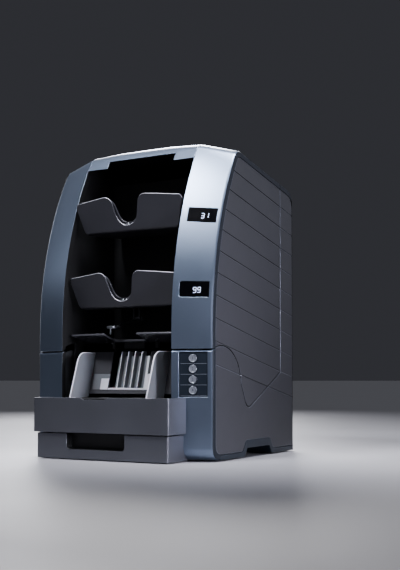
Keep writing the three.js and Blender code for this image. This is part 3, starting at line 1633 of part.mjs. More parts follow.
add('base_chassis', baseChassis(), slate);
add('lower_column_right', lowerColumn(true), silver);
add('lower_column_left', mirrored(lowerColumn(false)), silver);
addPair('lower_side_panel', lowerPanel(), panelGrey);
addPair('side_frame', sideFrame(), steel);
addPair('hinge_pin', hingePin(), steel);
add('rear_cover', rearCover(), slate);
add('hopper_front', hopperBox(), slate);
add('pull_drawer', pullDrawer(), slate);
add('feeder_floor', feederFloor(), blackPlastic);
add('feeder_back', feederBack(), panelGrey);
add('feeder_comb', feederComb(), whitePlastic);
addPair('note_guide', noteGuide(), whitePlastic);
add('pickoff_shaft', pickoffShaft(), rubber);
add('feed_shaft', feedShaft(), rubber);
add('retard_shaft', retardShaft(), rubber);
add('transport_wall', transportWall(), blackPlastic);
add('transport_shaft_low', towerShaft(lowRollerZ), rubber);
add('transport_shaft_high', towerShaft(highRollerZ), rubber);
add('sensor_bar', sensorBar(), blackPlastic);
add('drive_motor', driveMotor(), steel);
add('motor_pulley', motorPulley(), steel);
add('drive_belt', driveBelt(), rubber);
add('power_supply', powerSupply(), steel);
add('control_board', controlBoard(), boardGreen);
add('power_inlet', powerInlet(), blackPlastic);
add('power_rocker', powerRocker(), blackPlastic);
add('data_ports', dataPorts(), blackPlastic);
feet.forEach(([name, x, y]) => add(name, rubberFoot(x, y), rubber));
add('keypad_plate', keypadPlate(), slate);
for (let i = 0; i < buttonCount; i += 1) add(`keypad_button_${i + 1}`, keypadButton(i), keyMetal);

add('upper_column_right', upperColumn(true), silver);
add('upper_column_left', mirrored(upperColumn(false)), silver);
add('roof_cover', roofCover(), silver);
addPair('upper_side_panel', upperPanel(), panelGrey);
addPair('pocket_cheek', pocketCheek(), blackPlastic);
add('pocket_wall', pocketWall(), blackPlastic);
add('module_guide', moduleGuide(), blackPlastic);
['upper', 'lower'].forEach((place, i) => {
  add(`pocket_tray_${place}`, i ? join(pocketTray(i), ...armLugs()) : pocketTray(i), trayGrey);
  add(`tray_liner_${place}`, trayLiner(i), blackPlastic);
  add(`stacker_shaft_${place}`, stackerShaft(i), whitePlastic);
  add(`display_window_${place}`, displayWindow(i), glass);
});
add('reject_tray', rejectTray(), trayGrey);
add('reject_arm', rejectArm(), steel);

export default machine;
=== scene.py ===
import bpy
import bmesh
import json
import math
from mathutils import Matrix, Vector
from mathutils.bvhtree import BVHTree


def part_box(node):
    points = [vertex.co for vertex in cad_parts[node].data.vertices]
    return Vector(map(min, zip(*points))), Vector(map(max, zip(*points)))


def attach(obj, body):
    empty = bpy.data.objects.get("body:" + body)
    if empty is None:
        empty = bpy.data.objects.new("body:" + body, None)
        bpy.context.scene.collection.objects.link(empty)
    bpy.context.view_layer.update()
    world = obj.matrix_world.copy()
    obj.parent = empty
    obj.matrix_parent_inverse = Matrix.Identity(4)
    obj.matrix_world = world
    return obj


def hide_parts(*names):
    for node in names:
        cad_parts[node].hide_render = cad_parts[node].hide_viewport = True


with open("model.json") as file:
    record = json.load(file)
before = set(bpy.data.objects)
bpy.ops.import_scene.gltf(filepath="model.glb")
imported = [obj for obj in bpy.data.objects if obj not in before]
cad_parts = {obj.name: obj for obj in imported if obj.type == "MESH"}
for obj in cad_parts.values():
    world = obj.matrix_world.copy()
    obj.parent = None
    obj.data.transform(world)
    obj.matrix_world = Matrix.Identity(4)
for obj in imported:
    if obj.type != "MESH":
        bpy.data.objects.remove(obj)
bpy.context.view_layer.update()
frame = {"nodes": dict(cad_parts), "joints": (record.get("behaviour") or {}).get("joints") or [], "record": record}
nodes = frame["nodes"]
bodies = frame["record"]["behaviour"]["bodies"]
bodyOfNode = {node: body for body, members in bodies.items() for node in members}
print("frame loaded:", len(nodes), "nodes")

mm = 0.001
inwards = (0, 1, 0)
upwards = (0, 0, 1)

# camera: same place and lens as the photograph's
cameraLook = {
    "place": (0.84618, -1.31045, 0.11924), "level": 90, "yaw": 29.92, "pitch": 1.56, "roll": 0.07,
    "lens": 62.14, "sensor": 36.0, "shift": (-0.0171, 0.1166),
}
cameraData = bpy.data.cameras.new("camera")
cameraData.lens = cameraLook["lens"]
cameraData.sensor_width = cameraLook["sensor"]
cameraData.shift_x, cameraData.shift_y = cameraLook["shift"]
camera = bpy.data.objects.new("camera", cameraData)
bpy.context.scene.collection.objects.link(camera)
camera.location = cameraLook["place"]
cameraAngles = (cameraLook["level"] + cameraLook["pitch"], cameraLook["roll"], cameraLook["yaw"])
camera.rotation_euler = [math.radians(angle) for angle in cameraAngles]
bpy.context.scene.camera = camera


# colours and shader helpers
def linearColour(hexText):
    # sRGB hex to the linear values that the sockets take
    values = [int(hexText[i:i + 2], 16) / 255 for i in (1, 3, 5)]
    return tuple(v / 12.92 if v <= 0.04045 else ((v + 0.055) / 1.055) ** 2.4 for v in values) + (1.0,)


def addNode(tree, kind, settings=None, sockets=None):
    node = tree.nodes.new(kind)
    for name, value in (settings or {}).items():
        setattr(node, name, value)
    for name, value in (sockets or {}).items():
        if isinstance(value, bpy.types.NodeSocket):
            tree.links.new(value, node.inputs[name])
        else:
            node.inputs[name].default_value = value
    return node


def startFinish(name, shaderValues):
    finish = bpy.data.materials.new(name)
    finish.use_nodes = True
    tree = finish.node_tree
    tree.nodes.clear()
    shader = addNode(tree, "ShaderNodeBsdfPrincipled", sockets=shaderValues)
    addNode(tree, "ShaderNodeOutputMaterial", sockets={"Surface": shader.outputs["BSDF"]})
    place = addNode(tree, "ShaderNodeTexCoord").outputs["Object"]
    return finish, tree, shader, place


# what all moulded and sprayed finishes share: how broken the noises are, and the span that drives the gloss
patternLook = {
    "blotchDetail": 4.0, "blotchBreak": 0.55, "grainDetail": 3.0, "grainBreak": 0.7,
    "flakeReach": 0.9, "glossSpan": (0.3, 0.7),
}


def mouldedFinish(name, look):
    # a moulded or sprayed surface: slow blotches of tone and gloss, and a fine grain in the bump;
    # no roughness range crosses 0.274, where the render's noise filter would draw the blotches' outlines
    finish, tree, shader, place = startFinish(name, look["shader"])
    blotch = addNode(tree, "ShaderNodeTexNoise", sockets={
        "Vector": place, "Scale": 1 / (look["blotchMm"] * mm),
        "Detail": patternLook["blotchDetail"], "Roughness": patternLook["blotchBreak"]}).outputs["Fac"]
    grain = addNode(tree, "ShaderNodeTexNoise", sockets={
        "Vector": place, "Scale": 1 / (look["grainMm"] * mm),
        "Detail": patternLook["grainDetail"], "Roughness": patternLook["grainBreak"]}).outputs["Fac"]
    low, high = [linearColour(text) for text in look["colours"]]
    tone = addNode(tree, "ShaderNodeMix", {"data_type": "RGBA"}, {"Factor": blotch, "A": low, "B": high})
    colour = tone.outputs["Result"]
    if "flakeMm" in look:
        # metal flakes, drawn coarser than real ones so that they show
        flake = addNode(tree, "ShaderNodeTexVoronoi", sockets={
            "Vector": place, "Scale": 1 / (look["flakeMm"] * mm)})
        bright = addNode(tree, "ShaderNodeMapRange", sockets={
            "Value": flake.outputs["Distance"], "From Min": 0.0, "From Max": patternLook["flakeReach"],
            "To Min": look["flakeShare"], "To Max": 0.0})
        glint = addNode(tree, "ShaderNodeMix", {"data_type": "RGBA"}, {
            "Factor": bright.outputs["Result"], "A": colour, "B": linearColour(look["flakeColour"])})
        colour = glint.outputs["Result"]
    tree.links.new(colour, shader.inputs["Base Color"])
    gloss = addNode(tree, "ShaderNodeMapRange", sockets={
        "Value": blotch, "From Min": patternLook["glossSpan"][0], "From Max": patternLook["glossSpan"][1],
        "To Min": look["roughness"][0], "To Max": look["roughness"][1]})
    tree.links.new(gloss.outputs["Result"], shader.inputs["Roughness"])
    bump = addNode(tree, "ShaderNodeBump", sockets={
        "Height": grain, "Strength": look["bump"], "Distance": look["bumpMm"] * mm})
    tree.links.new(bump.outputs["Normal"], shader.inputs["Normal"])
    return finish


# finishes
# Silver lacquer sprayed on moulded ABS: aluminium flakes under a satin clear coat, drawn coarse to show
silverLacquer = mouldedFinish("silverLacquer", {
    "shader": {"Metallic": 0.9, "IOR": 1.5, "Coat Weight": 0.1, "Coat Roughness": 0.25},
    "colours": ("#6a778b", "#748195"), "blotchMm": 70, "grainMm": 1.6, "bump": 0.02, "bumpMm": 0.05,
    "flakeMm": 0.35, "flakeShare": 0.1, "flakeColour": "#b4bcc9", "roughness": (0.28, 0.32),
})
# Grey lacquer of the hopper and the drawer: less metal in it, so a broader and duller sheen than the silver
slateLacquer = mouldedFinish("slateLacquer", {
    "shader": {"Metallic": 0.6, "IOR": 1.5, "Coat Weight": 0.1, "Coat Roughness": 0.3},
    "colours": ("#505157", "#595a61"), "blotchMm": 60, "grainMm": 1.4, "bump": 0.08, "bumpMm": 0.05,
    "flakeMm": 0.35, "flakeShare": 0.16, "flakeColour": "#70747e", "roughness": (0.36, 0.44),
})
# Painted highlight on the side panels' rounded rims and groove edges: a paler lacquer that draws the catch of
# light as a fine pale line
paintedRimHighlight = mouldedFinish("paintedRimHighlight", {
    "shader": {"Metallic": 0.8, "IOR": 1.5},
    "colours": ("#70737c", "#7b7e88"), "blotchMm": 60, "grainMm": 1.4, "bump": 0.06, "bumpMm": 0.05,
    "roughness": (0.3, 0.38),
})
# Near-black lacquer of the rear cover; on the case's flanks it is painted shade, the silver drawn dark where it
# looks away from the light: a dark band beside the silver front
rearLacquerAndFlankShade = mouldedFinish("rearLacquerAndFlankShade", {
    "shader": {"Metallic": 0.4, "IOR": 1.5, "Specular IOR Level": 0.35},
    "colours": ("#12171e", "#171d25"), "blotchMm": 60, "grainMm": 1.4, "bump": 0.08, "bumpMm": 0.05,
    "flakeMm": 0.35, "flakeShare": 0.08, "flakeColour": "#444e5f", "roughness": (0.44, 0.5),
})
# Dark blue-grey lacquer of the keypad plate, with a little more sheen than the flanks; on the base chassis the
# same lacquer is painted shade for the case's silver out of the light
keypadLacquerAndChassisShade = mouldedFinish("keypadLacquerAndChassisShade", {
    "shader": {"Metallic": 0.6, "IOR": 1.5, "Coat Weight": 0.1, "Coat Roughness": 0.3},
    "colours": ("#161d26", "#1c2530"), "blotchMm": 30, "grainMm": 1.4, "bump": 0.06, "bumpMm": 0.05,
    "flakeMm": 0.35, "flakeShare": 0.1, "flakeColour": "#566374", "roughness": (0.34, 0.42),
})
# Metallic lacquer of the buttons and of the lines between them: a pale satin
keyLacquer = mouldedFinish("keyLacquer", {
    "shader": {"Metallic": 0.75, "IOR": 1.5},
    "colours": ("#8f949e", "#9aa0aa"), "blotchMm": 5, "grainMm": 0.4, "bump": 0.1, "bumpMm": 0.03,
    "roughness": (0.3, 0.4),
})
# Spark-eroded ABS of the side panels and the feeder's back: a fine even grain that breaks up the highlight
texturedAbs = mouldedFinish("texturedAbs", {
    "shader": {"Metallic": 0.0, "IOR": 1.53},
    "colours": ("#28282d", "#2f2f34"), "blotchMm": 55, "grainMm": 0.9, "bump": 0.35, "bumpMm": 0.12,
    "roughness": (0.44, 0.54),
})
# Satin ABS of the trays and their liners: smoother, with a soft sheen along the bends
satinAbs = mouldedFinish("satinAbs", {
    "shader": {"Metallic": 0.0, "IOR": 1.53},
    "colours": ("#28282d", "#2f2f34"), "blotchMm": 40, "grainMm": 0.8, "bump": 0.12, "bumpMm": 0.08,
    "roughness": (0.3, 0.33),
})
# Painted highlight on the trays' rounded rims where they look up: the same ABS drawn pale and glossy
trayRimHighlight = mouldedFinish("trayRimHighlight", {
    "shader": {"Metallic": 0.0, "IOR": 1.53, "Coat Weight": 0.3, "Coat Roughness": 0.15},
    "colours": ("#85858c", "#929299"), "blotchMm": 30, "grainMm": 0.8, "bump": 0.05, "bumpMm": 0.05,
    "roughness": (0.28, 0.32),
})
# Black moulded ABS of the inside and the ports: dull, so that openings stay dark; the same black is painted shade
# in the side panels' grooves, on the upper panels' lower rims and in the drawer's finger recess
blackAbsAndShade = mouldedFinish("blackAbsAndShade", {
    "shader": {"Metallic": 0.0, "IOR": 1.53, "Specular IOR Level": 0.35},
    "colours": ("#050506", "#09090b"), "blotchMm": 35, "grainMm": 0.8, "bump": 0.2, "bumpMm": 0.08,
    "roughness": (0.52, 0.62),
})
# Polished ABS of the reject tray: dark grey with a wet sheen
glossAbs = mouldedFinish("glossAbs", {
    "shader": {"Metallic": 0.0, "IOR": 1.53, "Coat Weight": 0.4, "Coat Roughness": 0.12},
    "colours": ("#333338", "#3e3e43"), "blotchMm": 45, "grainMm": 3.0, "bump": 0.04, "bumpMm": 0.08,
    "roughness": (0.18, 0.26),
})
# White acetal: slightly translucent and slippery, with soft highlights; the cut edges of the guides and the comb
# also use it
whiteAcetal = mouldedFinish("whiteAcetal", {
    "shader": {"Metallic": 0.0, "IOR": 1.48, "Subsurface Weight": 0.08, "Subsurface Scale": 0.002},
    "colours": ("#c9c8d2", "#d6d5de"), "blotchMm": 30, "grainMm": 1.2, "bump": 0.06, "bumpMm": 0.06,
    "roughness": (0.32, 0.42),
})
# Painted shade on the white plastic of the guides and the comb: their faces drawn a cloudy grey, while the cut
# edges keep the plain white
shadedWhitePlastic = mouldedFinish("shadedWhitePlastic", {
    "shader": {"Metallic": 0.0, "IOR": 1.49, "Subsurface Weight": 0.06, "Subsurface Scale": 0.002},
    "colours": ("#5e6166", "#686b70"), "blotchMm": 35, "grainMm": 0.9, "bump": 0.12, "bumpMm": 0.06,
    "roughness": (0.36, 0.46),
})
# Smoked acrylic over the displays: black until the digits light, with a faint hard gloss
smokedAcrylic = mouldedFinish("smokedAcrylic", {
    "shader": {"Metallic": 0.0, "IOR": 1.49, "Specular IOR Level": 0.1},
    "colours": ("#020204", "#050507"), "blotchMm": 22, "grainMm": 6.0, "bump": 0.02, "bumpMm": 0.05,
    "roughness": (0.08, 0.14),
})
# Zinc-plated sheet steel: faint cloudy spangle, satin
zincSteel = mouldedFinish("zincSteel", {
    "shader": {"Metallic": 1.0},
    "colours": ("#8d9096", "#a3a6aa"), "blotchMm": 14, "grainMm": 2.0, "bump": 0.06, "bumpMm": 0.04,
    "roughness": (0.3, 0.42),
})
# Turned steel of shafts, pins, the motor and the lens rims: bright, with a fine grain left by the tool
turnedSteel = mouldedFinish("turnedSteel", {
    "shader": {"Metallic": 1.0},
    "colours": ("#b9bcc2", "#c6c9cd"), "blotchMm": 9, "grainMm": 0.6, "bump": 0.08, "bumpMm": 0.03,
    "roughness": (0.28, 0.34),
})
# Nitrile rubber of tyres, belt and feet: matt black with a dusty grain
nitrileRubber = mouldedFinish("nitrileRubber", {
    "shader": {"Metallic": 0.0, "IOR": 1.52},
    "colours": ("#111113", "#1a1a1c"), "blotchMm": 12, "grainMm": 0.7, "bump": 0.3, "bumpMm": 0.1,
    "roughness": (0.7, 0.85),
})
# Epoxy solder mask over copper: green with a soft gloss
solderMask = mouldedFinish("solderMask", {
    "shader": {"Metallic": 0.0, "IOR": 1.55, "Coat Weight": 0.5, "Coat Roughness": 0.2},
    "colours": ("#124027", "#1d5a37"), "blotchMm": 6, "grainMm": 1.0, "bump": 0.1, "bumpMm": 0.05,
    "roughness": (0.28, 0.4),
})
# Pad-printing ink of the numerals: dark, flat and dull
printInk = mouldedFinish("printInk", {
    "shader": {"Metallic": 0.0, "IOR": 1.5},
    "colours": ("#2a2e36", "#343943"), "blotchMm": 3, "grainMm": 0.3, "bump": 0.1, "bumpMm": 0.02,
    "roughness": (0.5, 0.6),
})
# Painted board under the machine: pale, even and almost matt
paintedFloor = mouldedFinish("paintedFloor", {
    "shader": {"Metallic": 0.0, "IOR": 1.45},
    "colours": ("#97969a", "#9e9da1"), "blotchMm": 300, "grainMm": 4.0, "bump": 0.05, "bumpMm": 0.1,
    "roughness": (0.5, 0.6),
})


def litSegment():
    # light-emitting diodes behind a white diffuser: the colour falls off slightly along each bar
    look = {"warm": "#dfe8ff", "cool": "#b9caff", "barMm": 3.0, "strength": 1.8}
    finish, tree, shader, place = startFinish("litSegment", {
        "Roughness": 0.4, "IOR": 1.5, "Emission Strength": look["strength"]})
    noise = addNode(tree, "ShaderNodeTexNoise", sockets={"Vector": place, "Scale": 1 / (look["barMm"] * mm)})
    tone = addNode(tree, "ShaderNodeMix", {"data_type": "RGBA"}, {
        "Factor": noise.outputs["Fac"], "A": linearColour(look["warm"]), "B": linearColour(look["cool"])})
    tree.links.new(tone.outputs["Result"], shader.inputs["Emission Color"])
    tree.links.new(tone.outputs["Result"], shader.inputs["Base Color"])
    return finish


segmentLight = litSegment()
print("finishes made")

# shape helpers
shapeLook = {
    "weld": 0.004 * mm, "sliver": 0.02 * mm, "flat": 0.4, "sharp": 31, "crease": 40, "edgeSegments": 2,
}


def copyOf(node):
    # a CAD node's triangles joined up, and its flat facets made whole faces
    form = bmesh.new()
    form.from_mesh(nodes[node].data)
    bmesh.ops.remove_doubles(form, verts=form.verts, dist=shapeLook["weld"])
    bmesh.ops.dissolve_degenerate(form, dist=shapeLook["sliver"], edges=form.edges)
    flat = math.radians(shapeLook["flat"])
    bmesh.ops.dissolve_limit(form, angle_limit=flat, verts=form.verts, edges=form.edges)
    return form


def middleOf(node):
    low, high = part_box(node)
    return (low + high) / 2


def raisedVerts(form, face):
    # the new corners of a face that is drawn out into a prism
    raised = bmesh.ops.extrude_face_region(form, geom=[face])
    return [item for item in raised["geom"] if isinstance(item, bmesh.types.BMVert)]


def softenEdges(form, width, segments=shapeLook["edgeSegments"], sharpAngle=shapeLook["sharp"]):
    sharp = [edge for edge in form.edges
             if edge.is_manifold and edge.calc_face_angle(0) > math.radians(sharpAngle)]
    made = bmesh.ops.bevel(form, geom=sharp, offset=width, offset_type="OFFSET", segments=segments,
                           profile=0.5, affect="EDGES", clamp_overlap=False, material=-1)
    return made["faces"]


def paintFaces(form, rule):
    form.normal_update()
    for face in form.faces:
        face.material_index = rule(face.calc_center_median(), face.normal)


def finishPiece(name, form, finishes, carrier, replaced=()):
    # a shape made into a visible piece that rides on its carrier node's body
    mesh = bpy.data.meshes.new(name)
    form.normal_update()
    form.to_mesh(mesh)
    form.free()
    mesh.shade_smooth()
    mesh.set_sharp_from_angle(angle=math.radians(shapeLook["crease"]))
    for finish in finishes:
        mesh.materials.append(finish)
    piece = bpy.data.objects.new(name, mesh)
    bpy.context.scene.collection.objects.link(piece)
    even = piece.modifiers.new("evenShading", "WEIGHTED_NORMAL")
    even.keep_sharp = True
    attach(piece, bodyOfNode[carrier])
    if replaced:
        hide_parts(*replaced)


def finishNode(node, form, finishes):
    finishPiece("dressed_" + node, form, finishes, node, (node,))


def dressNode(node, look, finishes, rule=None):
    form = copyOf(node)
    segments = look.get("segments", shapeLook["edgeSegments"])
    softenEdges(form, look["edge"], segments, look.get("sharpAngle", shapeLook["sharp"]))
    if rule:
        paintFaces(form, rule)
    finishNode(node, form, finishes)


def squareTo(normal, centre):
    # a frame at the centre whose third axis is the normal
    across = Vector(upwards).cross(normal).normalized()
    up = normal.cross(across).normalized()
    turn = Matrix((across, up, normal)).transposed().to_4x4()
    return Matrix.Translation(centre) @ turn


def addBox(form, place, size):
    made = bmesh.ops.create_cube(form, size=1.0)
    bmesh.ops.transform(form, matrix=place @ Matrix.Diagonal((*size, 1)), verts=made["verts"])


# case: "inward", "cross" and "flank" are shares of a face's normal that sort the outside from the inside
caseLook = {
    "moduleHeart": (0, 45 * mm, 230 * mm), "baseHeart": (0, 45 * mm, 50 * mm), "inward": -0.12,
    "cross": 0.7, "openingHalf": 103 * mm, "flank": 0.62, "flankFrom": 150 * mm,
}


def outwards(heart):
    # a rule: 0 on faces looking away from the heart, 1 on the case's flanks, where the near-black is painted
    # shade, and 2 on the inner faces
    middle = Vector(caseLook[heart])

    def rule(place, normal):
        across = abs(normal.x)
        looksIn = normal.dot((place - middle).normalized()) < caseLook["inward"]
        if looksIn or (across > caseLook["cross"] and abs(place.x) < caseLook["openingHalf"]):
            return 2
        return 1 if across > caseLook["flank"] and abs(place.x) > caseLook["flankFrom"] else 0
    return rule


caseFinishes = [silverLacquer, rearLacquerAndFlankShade, blackAbsAndShade]
columnLook = {"edge": 0.45 * mm, "segments": 3}
for side in ("right", "left"):
    dressNode("upper_column_" + side, columnLook, caseFinishes, outwards("moduleHeart"))
    dressNode("lower_column_" + side, columnLook, caseFinishes, outwards("baseHeart"))
dressNode("roof_cover", {"edge": 0.5 * mm, "segments": 3}, caseFinishes, outwards("moduleHeart"))
dressNode("rear_cover", {"edge": 0.35 * mm}, [rearLacquerAndFlankShade, rearLacquerAndFlankShade, blackAbsAndShade], outwards("moduleHeart"))
# the base chassis in the keypad's dark blue-grey: painted shade on the case's silver
dressNode("base_chassis", {"edge": 0.4 * mm, "segments": 3}, [keypadLacquerAndChassisShade])

# "wall", "lip", "end", "flat" and "tilt" are shares of a face's normal that tell the panel's faces apart
panelLook = {
    "rim": 0.9 * mm, "rimSegments": 3, "rimAngle": 75, "edge": 0.14 * mm, "edgeSegments": 1, "edgeAngle": 35,
    "face": 156.1 * mm, "flat": 0.99, "wall": (0.6, 0.67), "lip": (0.87, 0.94), "end": 0.1, "tilt": 0.12,
}


def grooveRule(lowRim):
    # a rule: 1, black painted shade, in the grooves and on the hidden faces; 2, a painted highlight, on the
    # rounded rim and the grooves' lit edges; 0 on the face;
    # the rim that looks down takes the given number: painted shade on the upper panels, a painted highlight on the
    # lower
    def rule(place, normal):
        across = abs(normal.x)
        wallFrom, wallTo = panelLook["wall"]
        lipFrom, lipTo = panelLook["lip"]
        hidden = abs(place.x) < panelLook["face"] or across < panelLook["end"]
        if hidden or wallFrom < across < wallTo:
            return 1
        if lipFrom < across < lipTo:
            level = abs(normal.z) < panelLook["tilt"]
            return 2 if normal.z > panelLook["tilt"] or (level and normal.y < 0) else 1
        if across > panelLook["flat"]:
            return 0
        return lowRim if normal.z < -panelLook["tilt"] else 2
    return rule


def sidePanel(node, lowRim):
    form = copyOf(node)
    softenEdges(form, panelLook["rim"], panelLook["rimSegments"], panelLook["rimAngle"])
    softenEdges(form, panelLook["edge"], panelLook["edgeSegments"], panelLook["edgeAngle"])
    paintFaces(form, grooveRule(lowRim))
    finishNode(node, form, [texturedAbs, blackAbsAndShade, paintedRimHighlight])


# the upper panels' lower rims take painted shade, the lower panels' lower rims a painted highlight
for side in ("right", "left"):
    sidePanel("upper_side_panel_" + side, 1)
    sidePanel("lower_side_panel_" + side, 2)
print("case dressed")

# hopper front and drawer
drawerLook = {
    "edge": 0.6 * mm, "segments": 3, "recess": (-60.5 * mm, 43.5 * mm), "recessFoot": 15.2 * mm,
    "recessDepth": (0.9 * mm, 20 * mm), "frontWall": 4 * mm, "boxHalf": 115.5 * mm, "level": 0.999,
}


def drawerRule():
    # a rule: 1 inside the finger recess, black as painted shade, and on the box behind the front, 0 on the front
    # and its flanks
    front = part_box("pull_drawer")[0].y
    left, right = drawerLook["recess"]
    near, far = drawerLook["recessDepth"]

    def rule(place, normal):
        depth = place.y - front
        inRecess = left < place.x < right and place.z > drawerLook["recessFoot"] and near < depth < far
        onBox = depth > drawerLook["frontWall"] and abs(place.x) < drawerLook["boxHalf"]
        return 1 if inRecess or (onBox and abs(normal.z) < drawerLook["level"]) else 0
    return rule


dressNode("hopper_front", {"edge": 0.7 * mm, "segments": 3}, [slateLacquer])
dressNode("pull_drawer", drawerLook, [slateLacquer, blackAbsAndShade], drawerRule())
print("hopper and drawer dressed")

# feeder
combLook = {
    "edge": 0.35 * mm, "rootY": -94.64 * mm, "rootZ": 90 * mm, "lean": 15.1, "ribsHalf": 19.5 * mm,
    "ribFront": 0.8 * mm, "stepFront": -0.5 * mm, "flank": 0.9,
}
guideLook = {"edge": 0.7 * mm, "segments": 3, "flank": 0.99}


def combRule(place, normal):
    # 0 on the front edges of the ribs and on the step, 1 on the flanks, the shoes and the sheet, where the grey is
    # painted shade
    sheet = combLook["rootY"] + math.tan(math.radians(combLook["lean"])) * (place.z - combLook["rootZ"])
    onRib = abs(place.x) < combLook["ribsHalf"] and place.y < sheet + combLook["ribFront"]
    onStep = place.y < sheet + combLook["stepFront"]
    return 0 if abs(normal.x) < combLook["flank"] and (onRib or onStep) else 1


def guideRule(place, normal):
    # 1 on the guide's faces, where the grey is painted shade, 0 on its cut edges
    return 1 if abs(normal.x) > guideLook["flank"] else 0


dressNode("feeder_floor", {"edge": 0.3 * mm}, [blackAbsAndShade])
dressNode("feeder_back", {"edge": 0.4 * mm}, [texturedAbs])
dressNode("feeder_comb", combLook, [whiteAcetal, shadedWhitePlastic], combRule)
for side in ("right", "left"):
    dressNode("note_guide_" + side, guideLook, [whiteAcetal, shadedWhitePlastic], guideRule)


# pockets
def pocketTray(node):
    # a satin tray whose rounded upper rim carries a painted highlight where it looks up
    look = {"edge": 1.4 * mm, "segments": 4, "rise": (0.3, 0.99), "backward": 0.3}
    form = copyOf(node)
    rim = softenEdges(form, look["edge"], look["segments"])
    form.normal_update()
    low, high = look["rise"]
    for face in rim:
        face.material_index = 1 if low < face.normal.z < high and face.normal.y < look["backward"] else 0
    finishNode(node, form, [satinAbs, trayRimHighlight])


for level in ("upper", "lower"):
    pocketTray("pocket_tray_" + level)
    dressNode("tray_liner_" + level, {"edge": 0.6 * mm, "segments": 3}, [satinAbs])
dressNode("reject_tray", {"edge": 1.0 * mm, "segments": 3}, [glossAbs])
dressNode("reject_arm", {"edge": 0.3 * mm}, [zincSteel])
for node in ("pocket_wall", "module_guide", "pocket_cheek_right", "pocket_cheek_left",
             "transport_wall", "sensor_bar"):
    dressNode(node, {"edge": 0.25 * mm}, [blackAbsAndShade])


def faceHit(surface, start, direction):
    # where a straight line first meets a surface, and the normal there
    return surface.ray_cast(Vector(start), Vector(direction))[:2]


def surfaceOf(node):
    form = bmesh.new()
    form.from_mesh(nodes[node].data)
    surface = BVHTree.FromBMesh(form)
    form.free()
    return surface


def notchSensors(level):
    # two lens rims and a row of dark slots on the strip of the liner that shows in the finger notch;
    # "taper" and "seat" are shares of a lens's radius and height, "slotRise" follows the notch's curve
    look = {
        "lenses": (-1.5 * mm, 5 * mm), "lens": 1.5 * mm, "taper": 0.7, "tall": 1.1 * mm, "seat": 0.4,
        "sides": 24, "lensEdge": 0.15 * mm, "slots": (-15 * mm, -9.5 * mm, 11 * mm),
        "slot": (4 * mm, 1.3 * mm, 0.4 * mm), "slotRise": 0.28, "slotEdge": 0.1 * mm,
        "standOff": 10 * mm, "searchFrom": 5 * mm, "searchStep": 0.5 * mm, "drop": 2.6 * mm,
    }
    liner = "tray_liner_" + level
    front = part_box("pocket_tray_" + level)[0].y - look["standOff"]
    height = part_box(liner)[1].z - look["searchFrom"]
    surface = surfaceOf(liner)
    while faceHit(surface, (0, front, height), inwards)[0] is None:
        height -= look["searchStep"]
    height -= look["drop"]
    lenses, slots = bmesh.new(), bmesh.new()
    for across in look["lenses"]:
        spot, normal = faceHit(surface, (across, front, height), inwards)
        seat = squareTo(normal, spot) @ Matrix.Translation((0, 0, look["tall"] * look["seat"]))
        bmesh.ops.create_cone(lenses, cap_ends=True, segments=look["sides"], radius1=look["lens"],
                              radius2=look["lens"] * look["taper"], depth=look["tall"], matrix=seat)
    for across in look["slots"]:
        start = (across, front, height + abs(across) * look["slotRise"])
        spot, normal = faceHit(surface, start, inwards)
        addBox(slots, squareTo(normal, spot), look["slot"])
    softenEdges(lenses, look["lensEdge"])
    softenEdges(slots, look["slotEdge"])
    finishPiece("notch_lenses_" + level, lenses, [turnedSteel], liner)
    finishPiece("notch_slots_" + level, slots, [blackAbsAndShade], liner)


def ceilingKnobs():
    # two short black knobs and a flat sensor block under the reject tray, over the feeder
    look = {
        "places": (-40 * mm, 40 * mm), "back": -67.25 * mm, "foot": 165 * mm, "radius": 3.2 * mm, "sides": 32,
        "blockHalf": 19 * mm, "blockDepth": 6 * mm, "blockFoot": 164.5 * mm, "searchFrom": 100 * mm,
        "edge": 0.5 * mm, "segments": 3,
    }
    form = bmesh.new()
    surface = surfaceOf("reject_tray")

    def hung(across, foot):
        # how tall a piece is that reaches from its foot to the tray, and its middle
        roof = faceHit(surface, (across, look["back"], look["searchFrom"]), upwards)[0].z
        tall = roof - foot
        return tall, Matrix.Translation((across, look["back"], foot + tall / 2))

    for across in look["places"]:
        tall, place = hung(across, look["foot"])
        bmesh.ops.create_cone(form, cap_ends=True, segments=look["sides"], radius1=look["radius"],
                              radius2=look["radius"], depth=tall, matrix=place)
    tall, place = hung(0, look["blockFoot"])
    addBox(form, place, (look["blockHalf"] * 2, look["blockDepth"], tall))
    softenEdges(form, look["edge"], look["segments"])
    finishPiece("ceiling_knobs", form, [blackAbsAndShade], "reject_tray")


for level in ("upper", "lower"):
    notchSensors(level)
ceilingKnobs()
print("feeder and pockets dressed")


# shafts, drive and electronics
def shaftRule(node, bare):
    # a rule: 0 on the bare shaft, 1 on everything that stands out from it
    middle = middleOf(node)

    def rule(place, normal):
        return 0 if math.hypot(place.y - middle.y, place.z - middle.z) < bare else 1
    return rule


shaftLook = {"edge": 0.3 * mm, "sharpAngle": 45, "bare": 4.3 * mm}
stackerLook = {"edge": 0.25 * mm, "sharpAngle": 45, "bare": 4.6 * mm}
for node in ("pickoff_shaft", "feed_shaft", "retard_shaft", "transport_shaft_low", "transport_shaft_high"):
    dressNode(node, shaftLook, [turnedSteel, nitrileRubber], shaftRule(node, shaftLook["bare"]))
for node in ("stacker_shaft_upper", "stacker_shaft_lower"):
    dressNode(node, stackerLook, [turnedSteel, whiteAcetal], shaftRule(node, stackerLook["bare"]))
for finish, edge, members in (
    (zincSteel, 0.2 * mm, ("side_frame_right", "side_frame_left")),
    (turnedSteel, 0.3 * mm, ("hinge_pin_right", "hinge_pin_left", "drive_motor", "motor_pulley")),
    (zincSteel, 0.3 * mm, ("power_supply",)),
    (nitrileRubber, 0.2 * mm, ("drive_belt",)),
    (solderMask, 0.15 * mm, ("control_board",)),
    (blackAbsAndShade, 0.3 * mm, ("power_inlet", "power_rocker", "data_ports")),
):
    for node in members:
        dressNode(node, {"edge": edge}, [finish])
print("inner works dressed")


